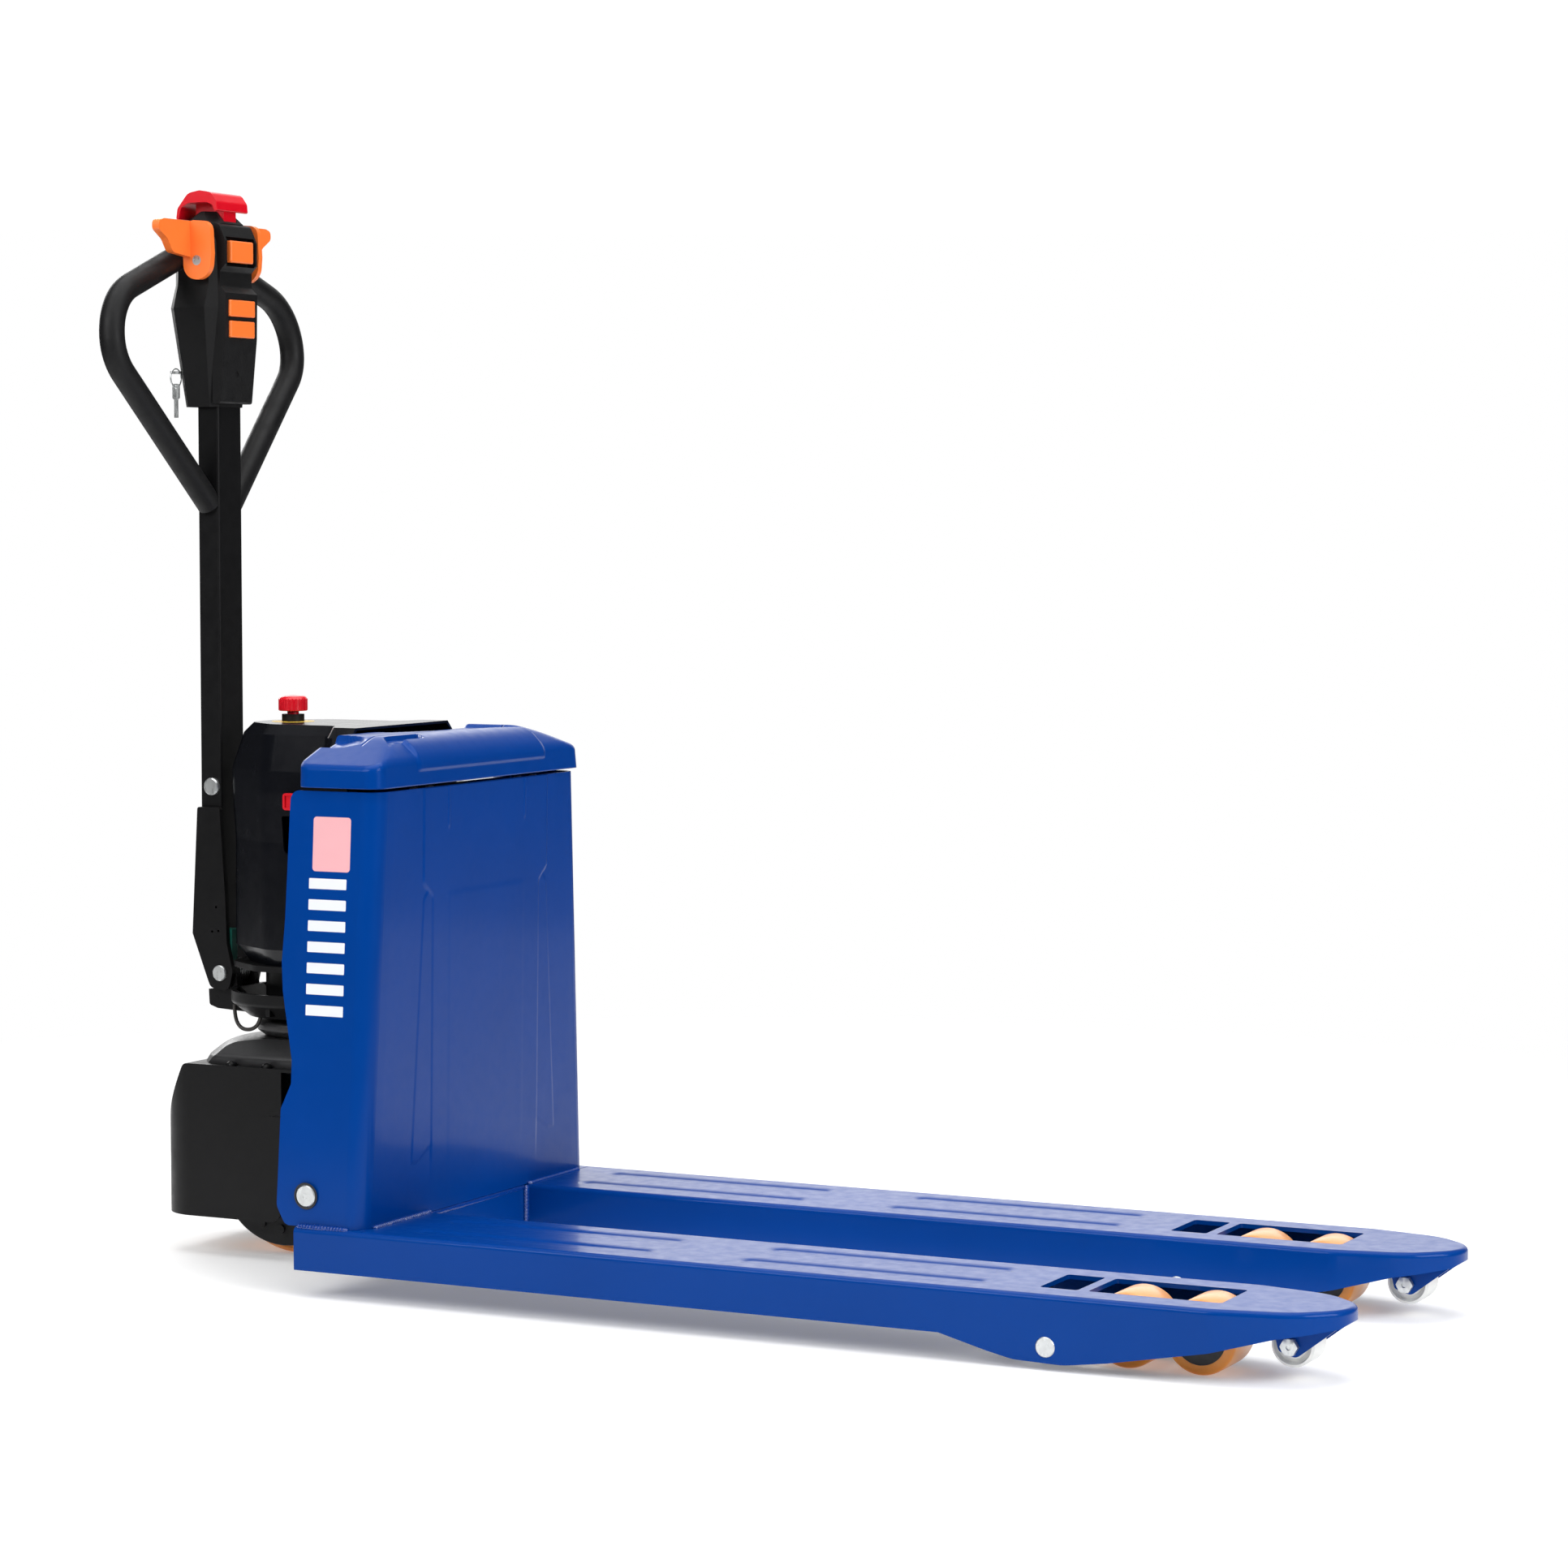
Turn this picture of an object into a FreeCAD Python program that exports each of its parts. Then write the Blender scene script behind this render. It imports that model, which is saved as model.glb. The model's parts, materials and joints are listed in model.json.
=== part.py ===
import FreeCAD, Part
import math
import os

# Electric pallet truck: two forks on tandem load wheels, a battery box, and a steered drive
# unit with an upright tiller.  Millimetres, +X towards the fork tips, +Y to the left of
# somebody driving forks first, +Z up.  Everything is modelled from the foot of the load face
# (X 0), the middle plane (Y 0) and the floor (Z 0), and is shifted on export so that the
# origin lies on the floor under the middle of the truck.

# ---- driving dimensions ------------------------------------------------------------------
fork_length = 1150.0          # load face to fork tips
rear_overhang = 412.2         # load face to the operator's side of the control head
overall_width = 540.0         # over both forks
fork_width = 158.0
fork_top = 80.0               # lowered height of the fork tops
fork_foot = 31.0              # underside of the fork sides
lift_stroke = 115.0
sheet = 5.0                   # fork steel
panel = 4.0                   # battery box steel

box_top = 575.0
box_half_foot = 261.5
box_half_top = 230.0
box_lean = 7.0                # how far the front panel leans towards the load at its top
box_corner = 22.0

load_wheel_radius = 40.0
load_wheel_width = 62.0
wheel_pitch = 82.0            # between the two axles of a tandem pair
bogie_x = 952.0
bracket_pin_x = 840.0
bracket_pin_z = 25.0
bracket_pin_radius = 11.0
bracket_lever = 36.0
bracket_lever_lean = 35.0     # degrees back at rest, and forward when fully lifted

entry_roller_x = 1090.0
entry_roller_z = 39.0
entry_roller_radius = 23.5
entry_roller_width = 40.0

rocker_x = -74.0
rocker_z = 115.0
rocker_arm = 75.0
rocker_swing = 50.0           # degrees each side of level
rocker_shaft_radius = 9.0

steer_x = -238.0
drive_wheel_radius = 105.0
drive_wheel_width = 70.0
guard_half = 100.0
guard_top = 232.0
guard_foot = 48.0
dome_radius = 122.0
dome_half_width = 85.0

tiller_x = -358.5
tiller_pivot_x = -343.0
tiller_pivot_z = 334.0
tube_depth = 30.0
tube_width = 50.0
head_foot = 1018.0
head_belt = 1137.0
head_top = 1252.0
handle_radius = 15.0

cover_radius = 88.0
cover_foot = 352.0
cover_top = 640.0
estop_x = -256.0
column_x = -102.0             # rear face of the upright plate of the drive base
column_thick = 6.0

running_gap = 0.05            # radial clearance of a pin that turns or slides in its bore

fork_centre = (overall_width - fork_width) / 2
origin_shift = (rear_overhang - fork_length) / 2
SIDES = {"left": 1, "right": -1}
V = FreeCAD.Vector
X_AXIS = V(1, 0, 0)
Y_AXIS = V(0, 1, 0)
Z_AXIS = V(0, 0, 1)


# ---- helpers ---------------------------------------------------------------------------
def box(x0, x1, y0, y1, z0, z1):
    return Part.makeBox(x1 - x0, y1 - y0, z1 - z0, V(x0, y0, z0))


def rod(start, axis, radius, length):
    return Part.makeCylinder(radius, length, V(*start), axis)


def rod_y(x, z, radius, y0, y1):
    return Part.makeCylinder(radius, y1 - y0, V(x, y0, z), Y_AXIS)


def fuse(shapes):
    shapes = list(shapes)
    joined = shapes[0]
    if len(shapes) > 1:
        joined = joined.multiFuse(shapes[1:])
    return joined.removeSplitter()


def outline(corners, place):
    """A closed wire through (a, b) or (a, b, radius) corners; place(a, b) gives the 3-D point."""
    count = len(corners)
    edges = []
    starts = []
    arcs = []
    for i, corner in enumerate(corners):
        a, b = corner[0], corner[1]
        radius = corner[2] if len(corner) > 2 else 0
        if not radius:
            starts.append(((a, b), (a, b)))
            arcs.append(None)
            continue
        before = corners[i - 1]
        after = corners[(i + 1) % count]
        ua, ub = before[0] - a, before[1] - b
        wa, wb = after[0] - a, after[1] - b
        lu, lw = math.hypot(ua, ub), math.hypot(wa, wb)
        ua, ub, wa, wb = ua / lu, ub / lu, wa / lw, wb / lw
        half = math.acos(max(-1, min(1, ua * wa + ub * wb))) / 2
        back = radius / math.tan(half)
        p = (a + ua * back, b + ub * back)
        q = (a + wa * back, b + wb * back)
        ma, mb = ua + wa, ub + wb
        lm = math.hypot(ma, mb)
        reach = radius / math.sin(half) - radius
        mid = (a + ma / lm * reach, b + mb / lm * reach)
        starts.append((p, q))
        arcs.append((p, mid, q))
    for i in range(count):
        if arcs[i]:
            p, mid, q = arcs[i]
            edges.append(Part.Arc(place(*p), place(*mid), place(*q)).toShape())
        here = starts[i][1]
        there = starts[(i + 1) % count][0]
        if math.hypot(there[0] - here[0], there[1] - here[1]) > 1e-6:
            edges.append(Part.LineSegment(place(*here), place(*there)).toShape())
    return Part.Wire(edges)


def plate_xz(corners, y0, y1):
    wire = outline(corners, lambda a, b: V(a, y0, b))
    return Part.Face(wire).extrude(V(0, y1 - y0, 0))


def plate_xy(corners, z0, z1):
    wire = outline(corners, lambda a, b: V(a, b, z0))
    return Part.Face(wire).extrude(V(0, 0, z1 - z0))


def plate_yz(corners, x0, x1):
    wire = outline(corners, lambda a, b: V(x0, a, b))
    return Part.Face(wire).extrude(V(x1 - x0, 0, 0))


def mirror_y(corners):
    """Corners on the +Y side of an outline, followed by their mirror images."""
    return corners + [(a, -b, *rest) for a, b, *rest in reversed(corners)]


def loft(sections):
    return Part.makeLoft(sections, True, True)


def turned(profile, centre_x, centre_y=0.0):
    """A solid of revolution about a vertical axis from (radius, z) corners."""
    wire = outline(profile, lambda r, z: V(centre_x + r, centre_y, z))
    return Part.Face(wire).revolve(V(centre_x, centre_y, 0), Z_AXIS, 360)


def turned_y(profile, x, z, centre_y):
    """A solid of revolution about an axle along Y from (offset along the axle, radius) corners."""
    wire = outline(profile, lambda s, r: V(x, centre_y + s, z + r))
    return Part.Face(wire).revolve(V(x, centre_y, z), Y_AXIS, 360)


def bar_through(points, radii, radius):
    """A round bar along straight runs joined by tangent arcs at the inner points."""
    edges = []
    here = points[0]
    for i in range(1, len(points) - 1):
        corner = points[i]
        u = (points[i - 1] - corner).normalize()
        w = (points[i + 1] - corner).normalize()
        half = u.getAngle(w) / 2
        back = radii[i - 1] / math.tan(half)
        start = corner + u * back
        stop = corner + w * back
        middle = corner + (u + w).normalize() * (radii[i - 1] / math.sin(half) - radii[i - 1])
        edges.append(Part.LineSegment(here, start).toShape())
        edges.append(Part.Arc(start, middle, stop).toShape())
        here = stop
    edges.append(Part.LineSegment(here, points[-1]).toShape())
    path = Part.Wire(edges)
    along = (edges[0].Vertexes[1].Point - edges[0].Vertexes[0].Point).normalize()
    circle = Part.Wire([Part.makeCircle(radius, points[0], along)])
    return path.makePipeShell([circle], True, False)


def hexagon_y(x, z, across, y0, y1):
    """A hexagonal bolt head or nut on an axis along Y."""
    corner = across / math.sqrt(3)
    points = [(x + corner * math.cos(math.radians(60 * k)), z + corner * math.sin(math.radians(60 * k)))
              for k in range(6)]
    return plate_xz(points, y0, y1)


def save(name, shape):
    moved = shape.copy()
    moved.translate(V(origin_shift, 0, 0))
    moved.exportStep(os.path.join("parts", name + ".step"))


# ---- forks and what is fixed in them -------------------------------------------------------
belly = [(-85, fork_foot), (718, 30), (774, 15.5), (803, 9.2, 60), (860, 7.5, 90), (908, 14, 60),
         (1019, 34.4), (1087, 52.5), (1143, 61, 4), (1150, 66), (1150, fork_top), (-85, fork_top)]
tip_plan = [(1022, 79, 60), (1106, 62, 80), (1150, 22, 45)]
window_half = 40.0
windows = [(817.0, 860.0), (872.0, 1020.0)]
hollow_end = 1046.0
lanes = [(50.0, 360.0), (460.0, 760.0)]
lane_offset = 36.0            # from the middle of the fork
lane_half = 17.0
lane_depth = 1.9


def pressed_lane(x0, x1, y):
    """Cutters for a shallow lane pressed into a fork top: a straight run and two round ends."""
    flank = [(7, fork_top - lane_depth, 12), (12, fork_top - 0.5, 20), (lane_half, fork_top),
             (lane_half, fork_top + 1)]
    right = [(y + a, *rest) for a, *rest in flank]
    left = [(y - a, *rest) for a, *rest in reversed(flank)]
    half = [(0, fork_top - lane_depth)] + flank + [(0, fork_top + 1)]
    return [plate_yz(right + left, x0 + lane_half, x1 - lane_half),
            turned(half, x0 + lane_half, y), turned(half, x1 - lane_half, y)]


def fork(side):
    y = side * fork_centre
    half = fork_width / 2
    body = plate_xz(belly, y - half, y + half)
    plan = [(a, y + b, r) for a, b, r in mirror_y(tip_plan)]
    plan = [(-90, y + half)] + plan + [(-90, y - half)]
    body = body.common(plate_xy(plan, 0, fork_top + 1))
    edges = [e for e in body.Edges if min(v.Z for v in e.Vertexes) > fork_top - 0.01
             and e.BoundBox.XMax > -80 and e.BoundBox.YLength + e.BoundBox.XLength > 5]
    body = body.makeFillet(6, edges)
    wall = half - sheet
    tip_wall = wall - 14
    hollow = [(-90, y + wall), (1008, y + wall), (hollow_end, y + tip_wall),
              (hollow_end, y - tip_wall), (1008, y - wall), (-90, y - wall)]
    body = body.cut(plate_xy(hollow, 0, fork_top - sheet))
    for x0, x1 in windows:
        opening = [(x0, y - window_half, 4), (x1, y - window_half, 4),
                   (x1, y + window_half, 4), (x0, y + window_half, 4)]
        body = body.cut(plate_xy(opening, 60, fork_top + 5))
    pocket = entry_roller_width / 2 + 1.5
    body = body.cut(box(entry_roller_x - 27, entry_roller_x + 27, y - pocket, y + pocket, 0, 67))
    fin = [(1077, 33, 6), (1096, 27, 8), (1139, 60), (1120, 66), (1070, 60)]
    cheeks = [plate_xz(fin, y + s * pocket + (0 if s > 0 else -sheet),
                       y + s * pocket + (sheet if s > 0 else 0)) for s in (1, -1)]
    body = fuse([body] + cheeks)
    body = body.cut(rod_y(entry_roller_x, entry_roller_z, 5, y - 60, y + 60))
    body = body.cut(rod_y(bracket_pin_x, bracket_pin_z, bracket_pin_radius, y - 90, y + 90))
    slot = [(-86, y - 12), (-30, y - 12, 6), (-30, y + 12, 6), (-86, y + 12)]
    body = body.cut(plate_xy(slot, 60, fork_top + 5))
    for x0, x1 in lanes:
        for offset in (-lane_offset, lane_offset):
            for cutter in pressed_lane(x0, x1, y + offset):
                body = body.cut(cutter)
    return body.cut(box(1, 2.5, y - half - 1, y + half + 1, fork_top - 0.4, fork_top + 1))


def bracket_pins():
    pins = []
    for side in SIDES.values():
        y = side * fork_centre
        reach = fork_width / 2 + 0.8
        pin = rod_y(bracket_pin_x, bracket_pin_z, bracket_pin_radius, y - reach, y + reach)
        ends = [e for e in pin.Edges if e.Curve.TypeId == "Part::GeomCircle"]
        pins.append(pin.makeChamfer(1, ends))
    return Part.makeCompound(pins)


def entry_bolts():
    bolts = []
    face = entry_roller_width / 2 + 1.5 + sheet
    for side in SIDES.values():
        y = side * fork_centre
        bolts.append(fuse([
            rod_y(entry_roller_x, entry_roller_z, 5, y - face - 2, y + face + 10),
            hexagon_y(entry_roller_x, entry_roller_z, 17, y - face - 7, y - face),
            hexagon_y(entry_roller_x, entry_roller_z, 17, y + face, y + face + 8)]))
    return Part.makeCompound(bolts)


def entry_roller(side):
    half = entry_roller_width / 2
    bore = 5 + running_gap
    profile = [(-half, bore), (half, bore), (half, 14), (half - 6, 16), (half - 6, 19), (half, 20.5),
               (half - 2, entry_roller_radius), (2 - half, entry_roller_radius), (-half, 20.5),
               (6 - half, 19), (6 - half, 16), (-half, 14)]
    return turned_y(profile, entry_roller_x, entry_roller_z, side * fork_centre)


# ---- battery box ---------------------------------------------------------------------------
rear_edge = [(-110, box_top, 12), (-113, 428), (-116, 379, 20), (-113.5, 346), (-99, 268, 12),
             (-99, 241, 10), (-112, 212, 10), (-114, 101, 16), (-103, 82, 10), (-89, fork_top - 3)]


def box_section(z, inset):
    """The box outline at one height, taken in by the wall thickness where inset is given."""
    rise = (z - fork_top) / (box_top - fork_top)
    half = box_half_foot + (box_half_top - box_half_foot) * rise - inset
    front = box_lean * rise - inset
    radius = box_corner - inset
    corners = [(-150, half), (front, half, radius), (front, -half, radius), (-150, -half)]
    return outline(corners, lambda a, b: V(a, b, z))


def battery_box():
    outer = loft([box_section(fork_top, 0), box_section(box_top, 0)])
    below = fork_top - 2
    inner = loft([box_section(below, panel), box_section(box_top + 2, panel)])
    shell = outer.cut(inner)
    profile = rear_edge + [(60, fork_top - 3), (60, box_top)]
    shell = shell.common(plate_xz(profile, -300, 300))
    return shell.cut(rod_y(rocker_x, rocker_z, 13, -300, 300))


shelf_z = 345.0
guide_rod_x = -40.0
guide_rod_y = 150.0
guide_rod_radius = 10.0
cylinder_x = -30.0


def cross_plates():
    """The plates that tie the box and the forks together: front tie, tray and guide feet."""
    inner = fork_centre - fork_width / 2
    tie = box(-6, 0, -inner, inner, 34, 74)
    tray = plate_xy([(-90, -238), (-4, -238, 22), (-4, 238, 22), (-90, 238)], shelf_z, shelf_z + 8)
    back = box(-90, -86, -224, 224, shelf_z + 8, 566)
    tray = tray.fuse(back)
    feet = [box(guide_rod_x - 20, guide_rod_x + 20, min(s * 130, s * 250), max(s * 130, s * 250),
                150, 158) for s in (1, -1)]
    return Part.makeCompound([tie, tray.removeSplitter()] + feet)


def guide_rods():
    return Part.makeCompound([rod((guide_rod_x, s * guide_rod_y, 158), Z_AXIS, guide_rod_radius,
                                  shelf_z - 158) for s in (1, -1)])


def battery_pack():
    case = box(-80, -12, -190, 190, shelf_z + 8, 548)
    case = case.makeFillet(5, [e for e in case.Edges if e.BoundBox.ZLength > 100])
    handle = bar_through([V(-46, -60, 546), V(-46, -60, 566), V(-46, 60, 566), V(-46, 60, 546)],
                         [10, 10], 5)
    return fuse([case, handle])


def rocker_shaft():
    """One shaft across the frame: turned down inside, full size where it shows at each side."""
    middle = rod_y(rocker_x, rocker_z, rocker_shaft_radius, -232, 232)
    ends = []
    for s in (1, -1):
        low, high = sorted((s * 232, s * 262))
        end = rod_y(rocker_x, rocker_z, 13, low, high)
        face = [e for e in end.Edges if abs(e.BoundBox.Center.y - s * 262) < 0.1]
        ends.append(end.makeChamfer(1.5, face))
    return fuse([middle] + ends)


def cylinder_rod():
    return rod((cylinder_x, 0, 165), Z_AXIS, 12, shelf_z - 165)


# ---- lid -----------------------------------------------------------------------------------
lid_foot = 579.0
lid_shoulder = 606.0
lid_crown = 637.0
lid_back = -102.0
lid_front = 10.4
lid_half = 236.0
hinge_x = -3.0
hinge_z = 571.0


def lid_section(z, back, front, half, radius):
    corners = [(back, -half, radius), (front, -half, radius), (front, half, radius),
               (back, half, radius)]
    return outline(corners, lambda a, b: V(a, b, z))


def battery_lid():
    skirt = loft([lid_section(lid_foot, lid_back, lid_front, lid_half, 18),
                  lid_section(lid_shoulder, lid_back + 7, lid_front - 1, lid_half - 4, 16)])
    crown = loft([lid_section(lid_shoulder, lid_back + 7, lid_front - 1, lid_half - 4, 16),
                  lid_section(lid_crown, lid_back + 10, -38, 150, 10)])
    hollow = loft([lid_section(lid_foot - 1, lid_back + 4, lid_front - 4, lid_half - 4, 14),
                   lid_section(lid_shoulder - 2, lid_back + 10, lid_front - 5, lid_half - 8, 12)])
    tongues = [box(hinge_x - 5, hinge_x + 1, s * 120 - 12, s * 120 + 12, hinge_z, lid_shoulder + 2)
               for s in (1, -1)]
    eyes = [rod_y(hinge_x, hinge_z, 5, s * 120 - 12, s * 120 + 12) for s in (1, -1)]
    shell = fuse([skirt, crown]).cut(hollow)
    return fuse([shell] + tongues + eyes).cut(rod_y(hinge_x, hinge_z, 2.5 + running_gap, -300, 300))


def lid_hinges():
    """Two hinge pins, each with the pair of knuckles that stands on the front panel's inside."""
    hinges = []
    for s in (1, -1):
        pin = rod_y(hinge_x, hinge_z, 2.5, s * 120 - 24, s * 120 + 24)
        knuckles = []
        for t in (1, -1):
            low, high = s * 120 + t * 18 - 5, s * 120 + t * 18 + 5
            knuckles.append(rod_y(hinge_x, hinge_z, 4.5, low, high))
            knuckles.append(box(hinge_x, 2.8, low, high, hinge_z - 9, hinge_z))
        hinges.append(fuse([pin] + knuckles))
    return Part.makeCompound(hinges)


# ---- load wheels, their brackets, and the linkage that swings them ---------------------------
stub_radius = 8.0
bogie_z = load_wheel_radius
bracket_arm = math.hypot(bogie_x - bracket_pin_x, bogie_z - bracket_pin_z)
rest_rise = math.asin((bogie_z - bracket_pin_z) / bracket_arm)
bracket_swing = rest_rise + math.asin(lift_stroke / bracket_arm - math.sin(rest_rise))
lever_back = bracket_swing / 2
lever_tip_x = bracket_pin_x - bracket_lever * math.sin(lever_back)
lever_tip_z = bracket_pin_z + bracket_lever * math.cos(lever_back)
lug_radius = 7.0
push_lever_half = 4.0
rod_travel = 2 * bracket_lever * math.sin(lever_back)
rocker_lever = rod_travel / (2 * math.sin(math.radians(rocker_swing)))
roller_radius = 6.0
roller_x = rocker_x - rod_travel / 2
contact_gap = 1.5             # play between a roller and the plate that it bears on


def bar_xz(x0, z0, x1, z1, half, y0, y1):
    """A flat link with parallel sides and round ends, from one eye to another."""
    length = math.hypot(x1 - x0, z1 - z0)
    ux, uz = (x1 - x0) / length, (z1 - z0) / length
    sides = [(x0 - uz * half, z0 + ux * half), (x1 - uz * half, z1 + ux * half),
             (x1 + uz * half, z1 - ux * half), (x0 + uz * half, z0 - ux * half)]
    return fuse([plate_xz(sides, y0, y1), rod_y(x0, z0, half, y0, y1), rod_y(x1, z1, half, y0, y1)])


def wheel_bracket(side):
    """The frame that swings down out of the fork: hub, two side links, and the push lever."""
    y = side * fork_centre
    shapes = [rod_y(bracket_pin_x, bracket_pin_z, 16, y - 45, y + 45)]
    for s in (1, -1):
        low, high = sorted((y + s * 40, y + s * 45))
        shapes.append(bar_xz(bracket_pin_x, bracket_pin_z, bogie_x, bogie_z, 12, low, high))
        low, high = sorted((y + s * 34, y + s * 45))
        shapes.append(rod_y(bogie_x, bogie_z, stub_radius, low, high))
    shapes.append(bar_xz(bracket_pin_x, bracket_pin_z, lever_tip_x, lever_tip_z,
                         push_lever_half, y - 9, y + 9))
    shapes.append(rod_y(lever_tip_x, lever_tip_z, lug_radius, y - 9, y + 9))
    body = fuse(shapes)
    return body.cut(rod_y(bracket_pin_x, bracket_pin_z, bracket_pin_radius + running_gap,
                          y - 60, y + 60))


def bogie(side):
    """Two side plates that carry the tandem axles and rock on the bracket's stubs."""
    y = side * fork_centre
    half = load_wheel_width / 2
    shapes = []
    for s in (1, -1):
        low, high = sorted((y + s * (half + 1.5), y + s * (half + 7.5)))
        link = bar_xz(bogie_x - wheel_pitch / 2, bogie_z, bogie_x + wheel_pitch / 2, bogie_z, 15,
                      low, high)
        shapes.append(link.cut(rod_y(bogie_x, bogie_z, stub_radius + running_gap, low - 1, high + 1)))
    for s in (1, -1):
        shapes.append(rod_y(bogie_x + s * wheel_pitch / 2, bogie_z, stub_radius,
                            y - half - 7.5, y + half + 7.5))
    return fuse(shapes)


def load_wheel(side, place):
    x = bogie_x + place * wheel_pitch / 2
    half = load_wheel_width / 2
    r = load_wheel_radius
    bore = stub_radius + running_gap
    profile = [(-half, bore), (half, bore), (half, 17), (half - 4, 19), (half - 4, 27), (half, 29),
               (half, r - 4), (half - 4, r, 3), (4 - half, r, 3), (-half, r - 4), (-half, 29),
               (4 - half, 27), (4 - half, 19), (-half, 17)]
    return turned_y(profile, x, bogie_z, side * fork_centre)


def push_rod(side):
    """Square rod along the fork, with a thrust plate for a roller at each end."""
    y = side * fork_centre
    back = roller_x + roller_radius + contact_gap
    front = lever_tip_x - lug_radius - contact_gap
    bar = box(back, front, y - 8, y + 8, 50, 64)
    back_plate = box(back, back + 7, y - 9, y + 9, 46, 93)
    front_plate = box(front - 8, front, y - 12, y + 12, 50, 72)
    return fuse([bar, back_plate, front_plate])


def rocker():
    """Torsion tube on the rocker shaft: two push levers and two roller arms to the drive base."""
    swing = math.radians(rocker_swing)
    tube = rod_y(rocker_x, rocker_z, 14, -228, 228)
    shapes = [tube]
    for s in (1, -1):
        y = s * fork_centre
        tip_x = rocker_x - rocker_lever * math.sin(swing)
        tip_z = rocker_z - rocker_lever * math.cos(swing)
        shapes.append(bar_xz(rocker_x, rocker_z, tip_x, tip_z, roller_radius, y - 8, y + 8))
        tip_x = rocker_x - rocker_arm * math.cos(swing)
        tip_z = rocker_z + rocker_arm * math.sin(swing)
        low, high = sorted((s * 203, s * 209))
        shapes.append(bar_xz(rocker_x, rocker_z, tip_x, tip_z, 8, low, high))
        low, high = sorted((s * 203, s * 221))
        shapes.append(rod_y(tip_x, tip_z, 8, low, high))
    return fuse(shapes).cut(rod_y(rocker_x, rocker_z, rocker_shaft_radius + running_gap, -300, 300))


# ---- drive base: the part that stays down on the drive wheel -----------------------------------
base_plate_z = 345.0
bearing_radius = 38.0
pad_gap = 3.5                 # play of the rocker's roller arms under the base's pads
barrel_radius = 22.0
hub_gap = 0.06


def drive_base_frame():
    """Upright plate behind the battery box, cover plate under the power unit, and guide arms."""
    pad_z = rocker_z + rocker_arm * math.sin(math.radians(rocker_swing)) + 8 + pad_gap
    upright = plate_yz(mirror_y([(200, 150), (200, 222), (211.5, 222), (211.5, pad_z), (222, pad_z),
                                 (222, 470, 30), (150, 565, 30)])[:7]
                       + [(-150, 565, 30), (-222, 470, 30), (-222, pad_z), (-211.5, pad_z),
                          (-211.5, 222), (-200, 222), (-200, 150)], column_x, column_x + column_thick)
    deck_half = 84.0
    deck = plate_xy([(column_x, deck_half), (-200, deck_half), (steer_x - 20, deck_half, 30),
                     (steer_x - 84, 40, 34), (steer_x - 84, -40, 34), (steer_x - 20, -deck_half, 30),
                     (-200, -deck_half), (column_x, -deck_half)], base_plate_z, base_plate_z + 7)
    pads = []
    arms = []
    for s in (1, -1):
        low, high = sorted((s * 211.5, s * 222))
        pads.append(box(-150, column_x + column_thick, low, high, pad_z, pad_z + 12))
        low, high = sorted((s * (guide_rod_y - 18), s * (guide_rod_y + 18)))
        arms.append(box(column_x, guide_rod_x + 18, low, high, 287, 335))
    arms.append(box(column_x, cylinder_x, -14, 14, 252, 284))
    webs = [plate_xz([(column_x, 150), (column_x, base_plate_z), (-125, base_plate_z)],
                     s * 80 - 3, s * 80 + 3) for s in (1, -1)]
    frame = fuse([upright, deck] + pads + arms + webs)
    frame = frame.cut(rod((steer_x, 0, 300), Z_AXIS, bearing_radius + hub_gap, 100))
    frame = frame.cut(rod((cylinder_x, 0, 200), Z_AXIS, barrel_radius, 130))
    for s in (1, -1):
        frame = frame.cut(rod((guide_rod_x, s * guide_rod_y, 200), Z_AXIS,
                              guide_rod_radius + running_gap, 200))
    return frame


def lift_cylinder():
    barrel = rod((cylinder_x, 0, 140), Z_AXIS, barrel_radius, 178)
    return barrel.cut(rod((cylinder_x, 0, 150), Z_AXIS, 12 + running_gap, 200))


def cover_section(z, front, half, flare, inset):
    """Cover outline: round nose about the steering axis, straight sides, flared at the back."""
    back = column_x
    nose = steer_x - front + inset
    h = half - inset
    wide = flare - inset
    corners = [(back, wide), (-134, wide, 12), (-152, h, 14), (steer_x - 5, h, 40),
               (nose, h * 0.42, 34), (nose, -h * 0.42, 34), (steer_x - 5, -h, 40), (-152, -h, 14),
               (-134, -wide, 12), (back, -wide)]
    return outline(corners, lambda a, b: V(a, b, z))


cover_shape = [(cover_foot, 66, 76, 108), (372, 85, 84, 116), (500, 84, 84, 122), (560, 88, 86, 124),
               (585, 88, 86, 124), (628, 72, 78, 116), (cover_top, 60, 68, 104)]


plug_x0 = -212.0
plug_x1 = -176.0
lead_radius = 3.0


def battery_plug():
    """Two-pole charging plug, let into the cover's right flank."""
    body = box(plug_x0, plug_x1, -92, -76, 540, 560)
    body = body.makeFillet(4, [e for e in body.Edges if e.BoundBox.YLength > 10])
    well = box(plug_x0 + 3, plug_x1 - 3, -93, -90, 543, 557)
    return body.cut(well)


def battery_leads():
    """The plug's two leads: out through the hole in the cover, and back in to the power pack."""
    top = base_plate_z + 111
    routes = [[V(-196, -78.5, 540), V(-196, -78.5, 524), V(-208, -88, 516), V(-192, -89, 508),
               V(-176, -75.5, 500), V(-170, -64, 480), V(-170, -64, top)],
              [V(-184, -78.5, 540), V(-184, -78.5, 510), V(-200, -87, 501), V(-184, -87, 494),
               V(-160, -73, 486), V(-156, -64, 470), V(-156, -64, top)]]
    return Part.makeCompound([bar_through(route, [7, 7, 7, 7, 7], lead_radius) for route in routes])


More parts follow.
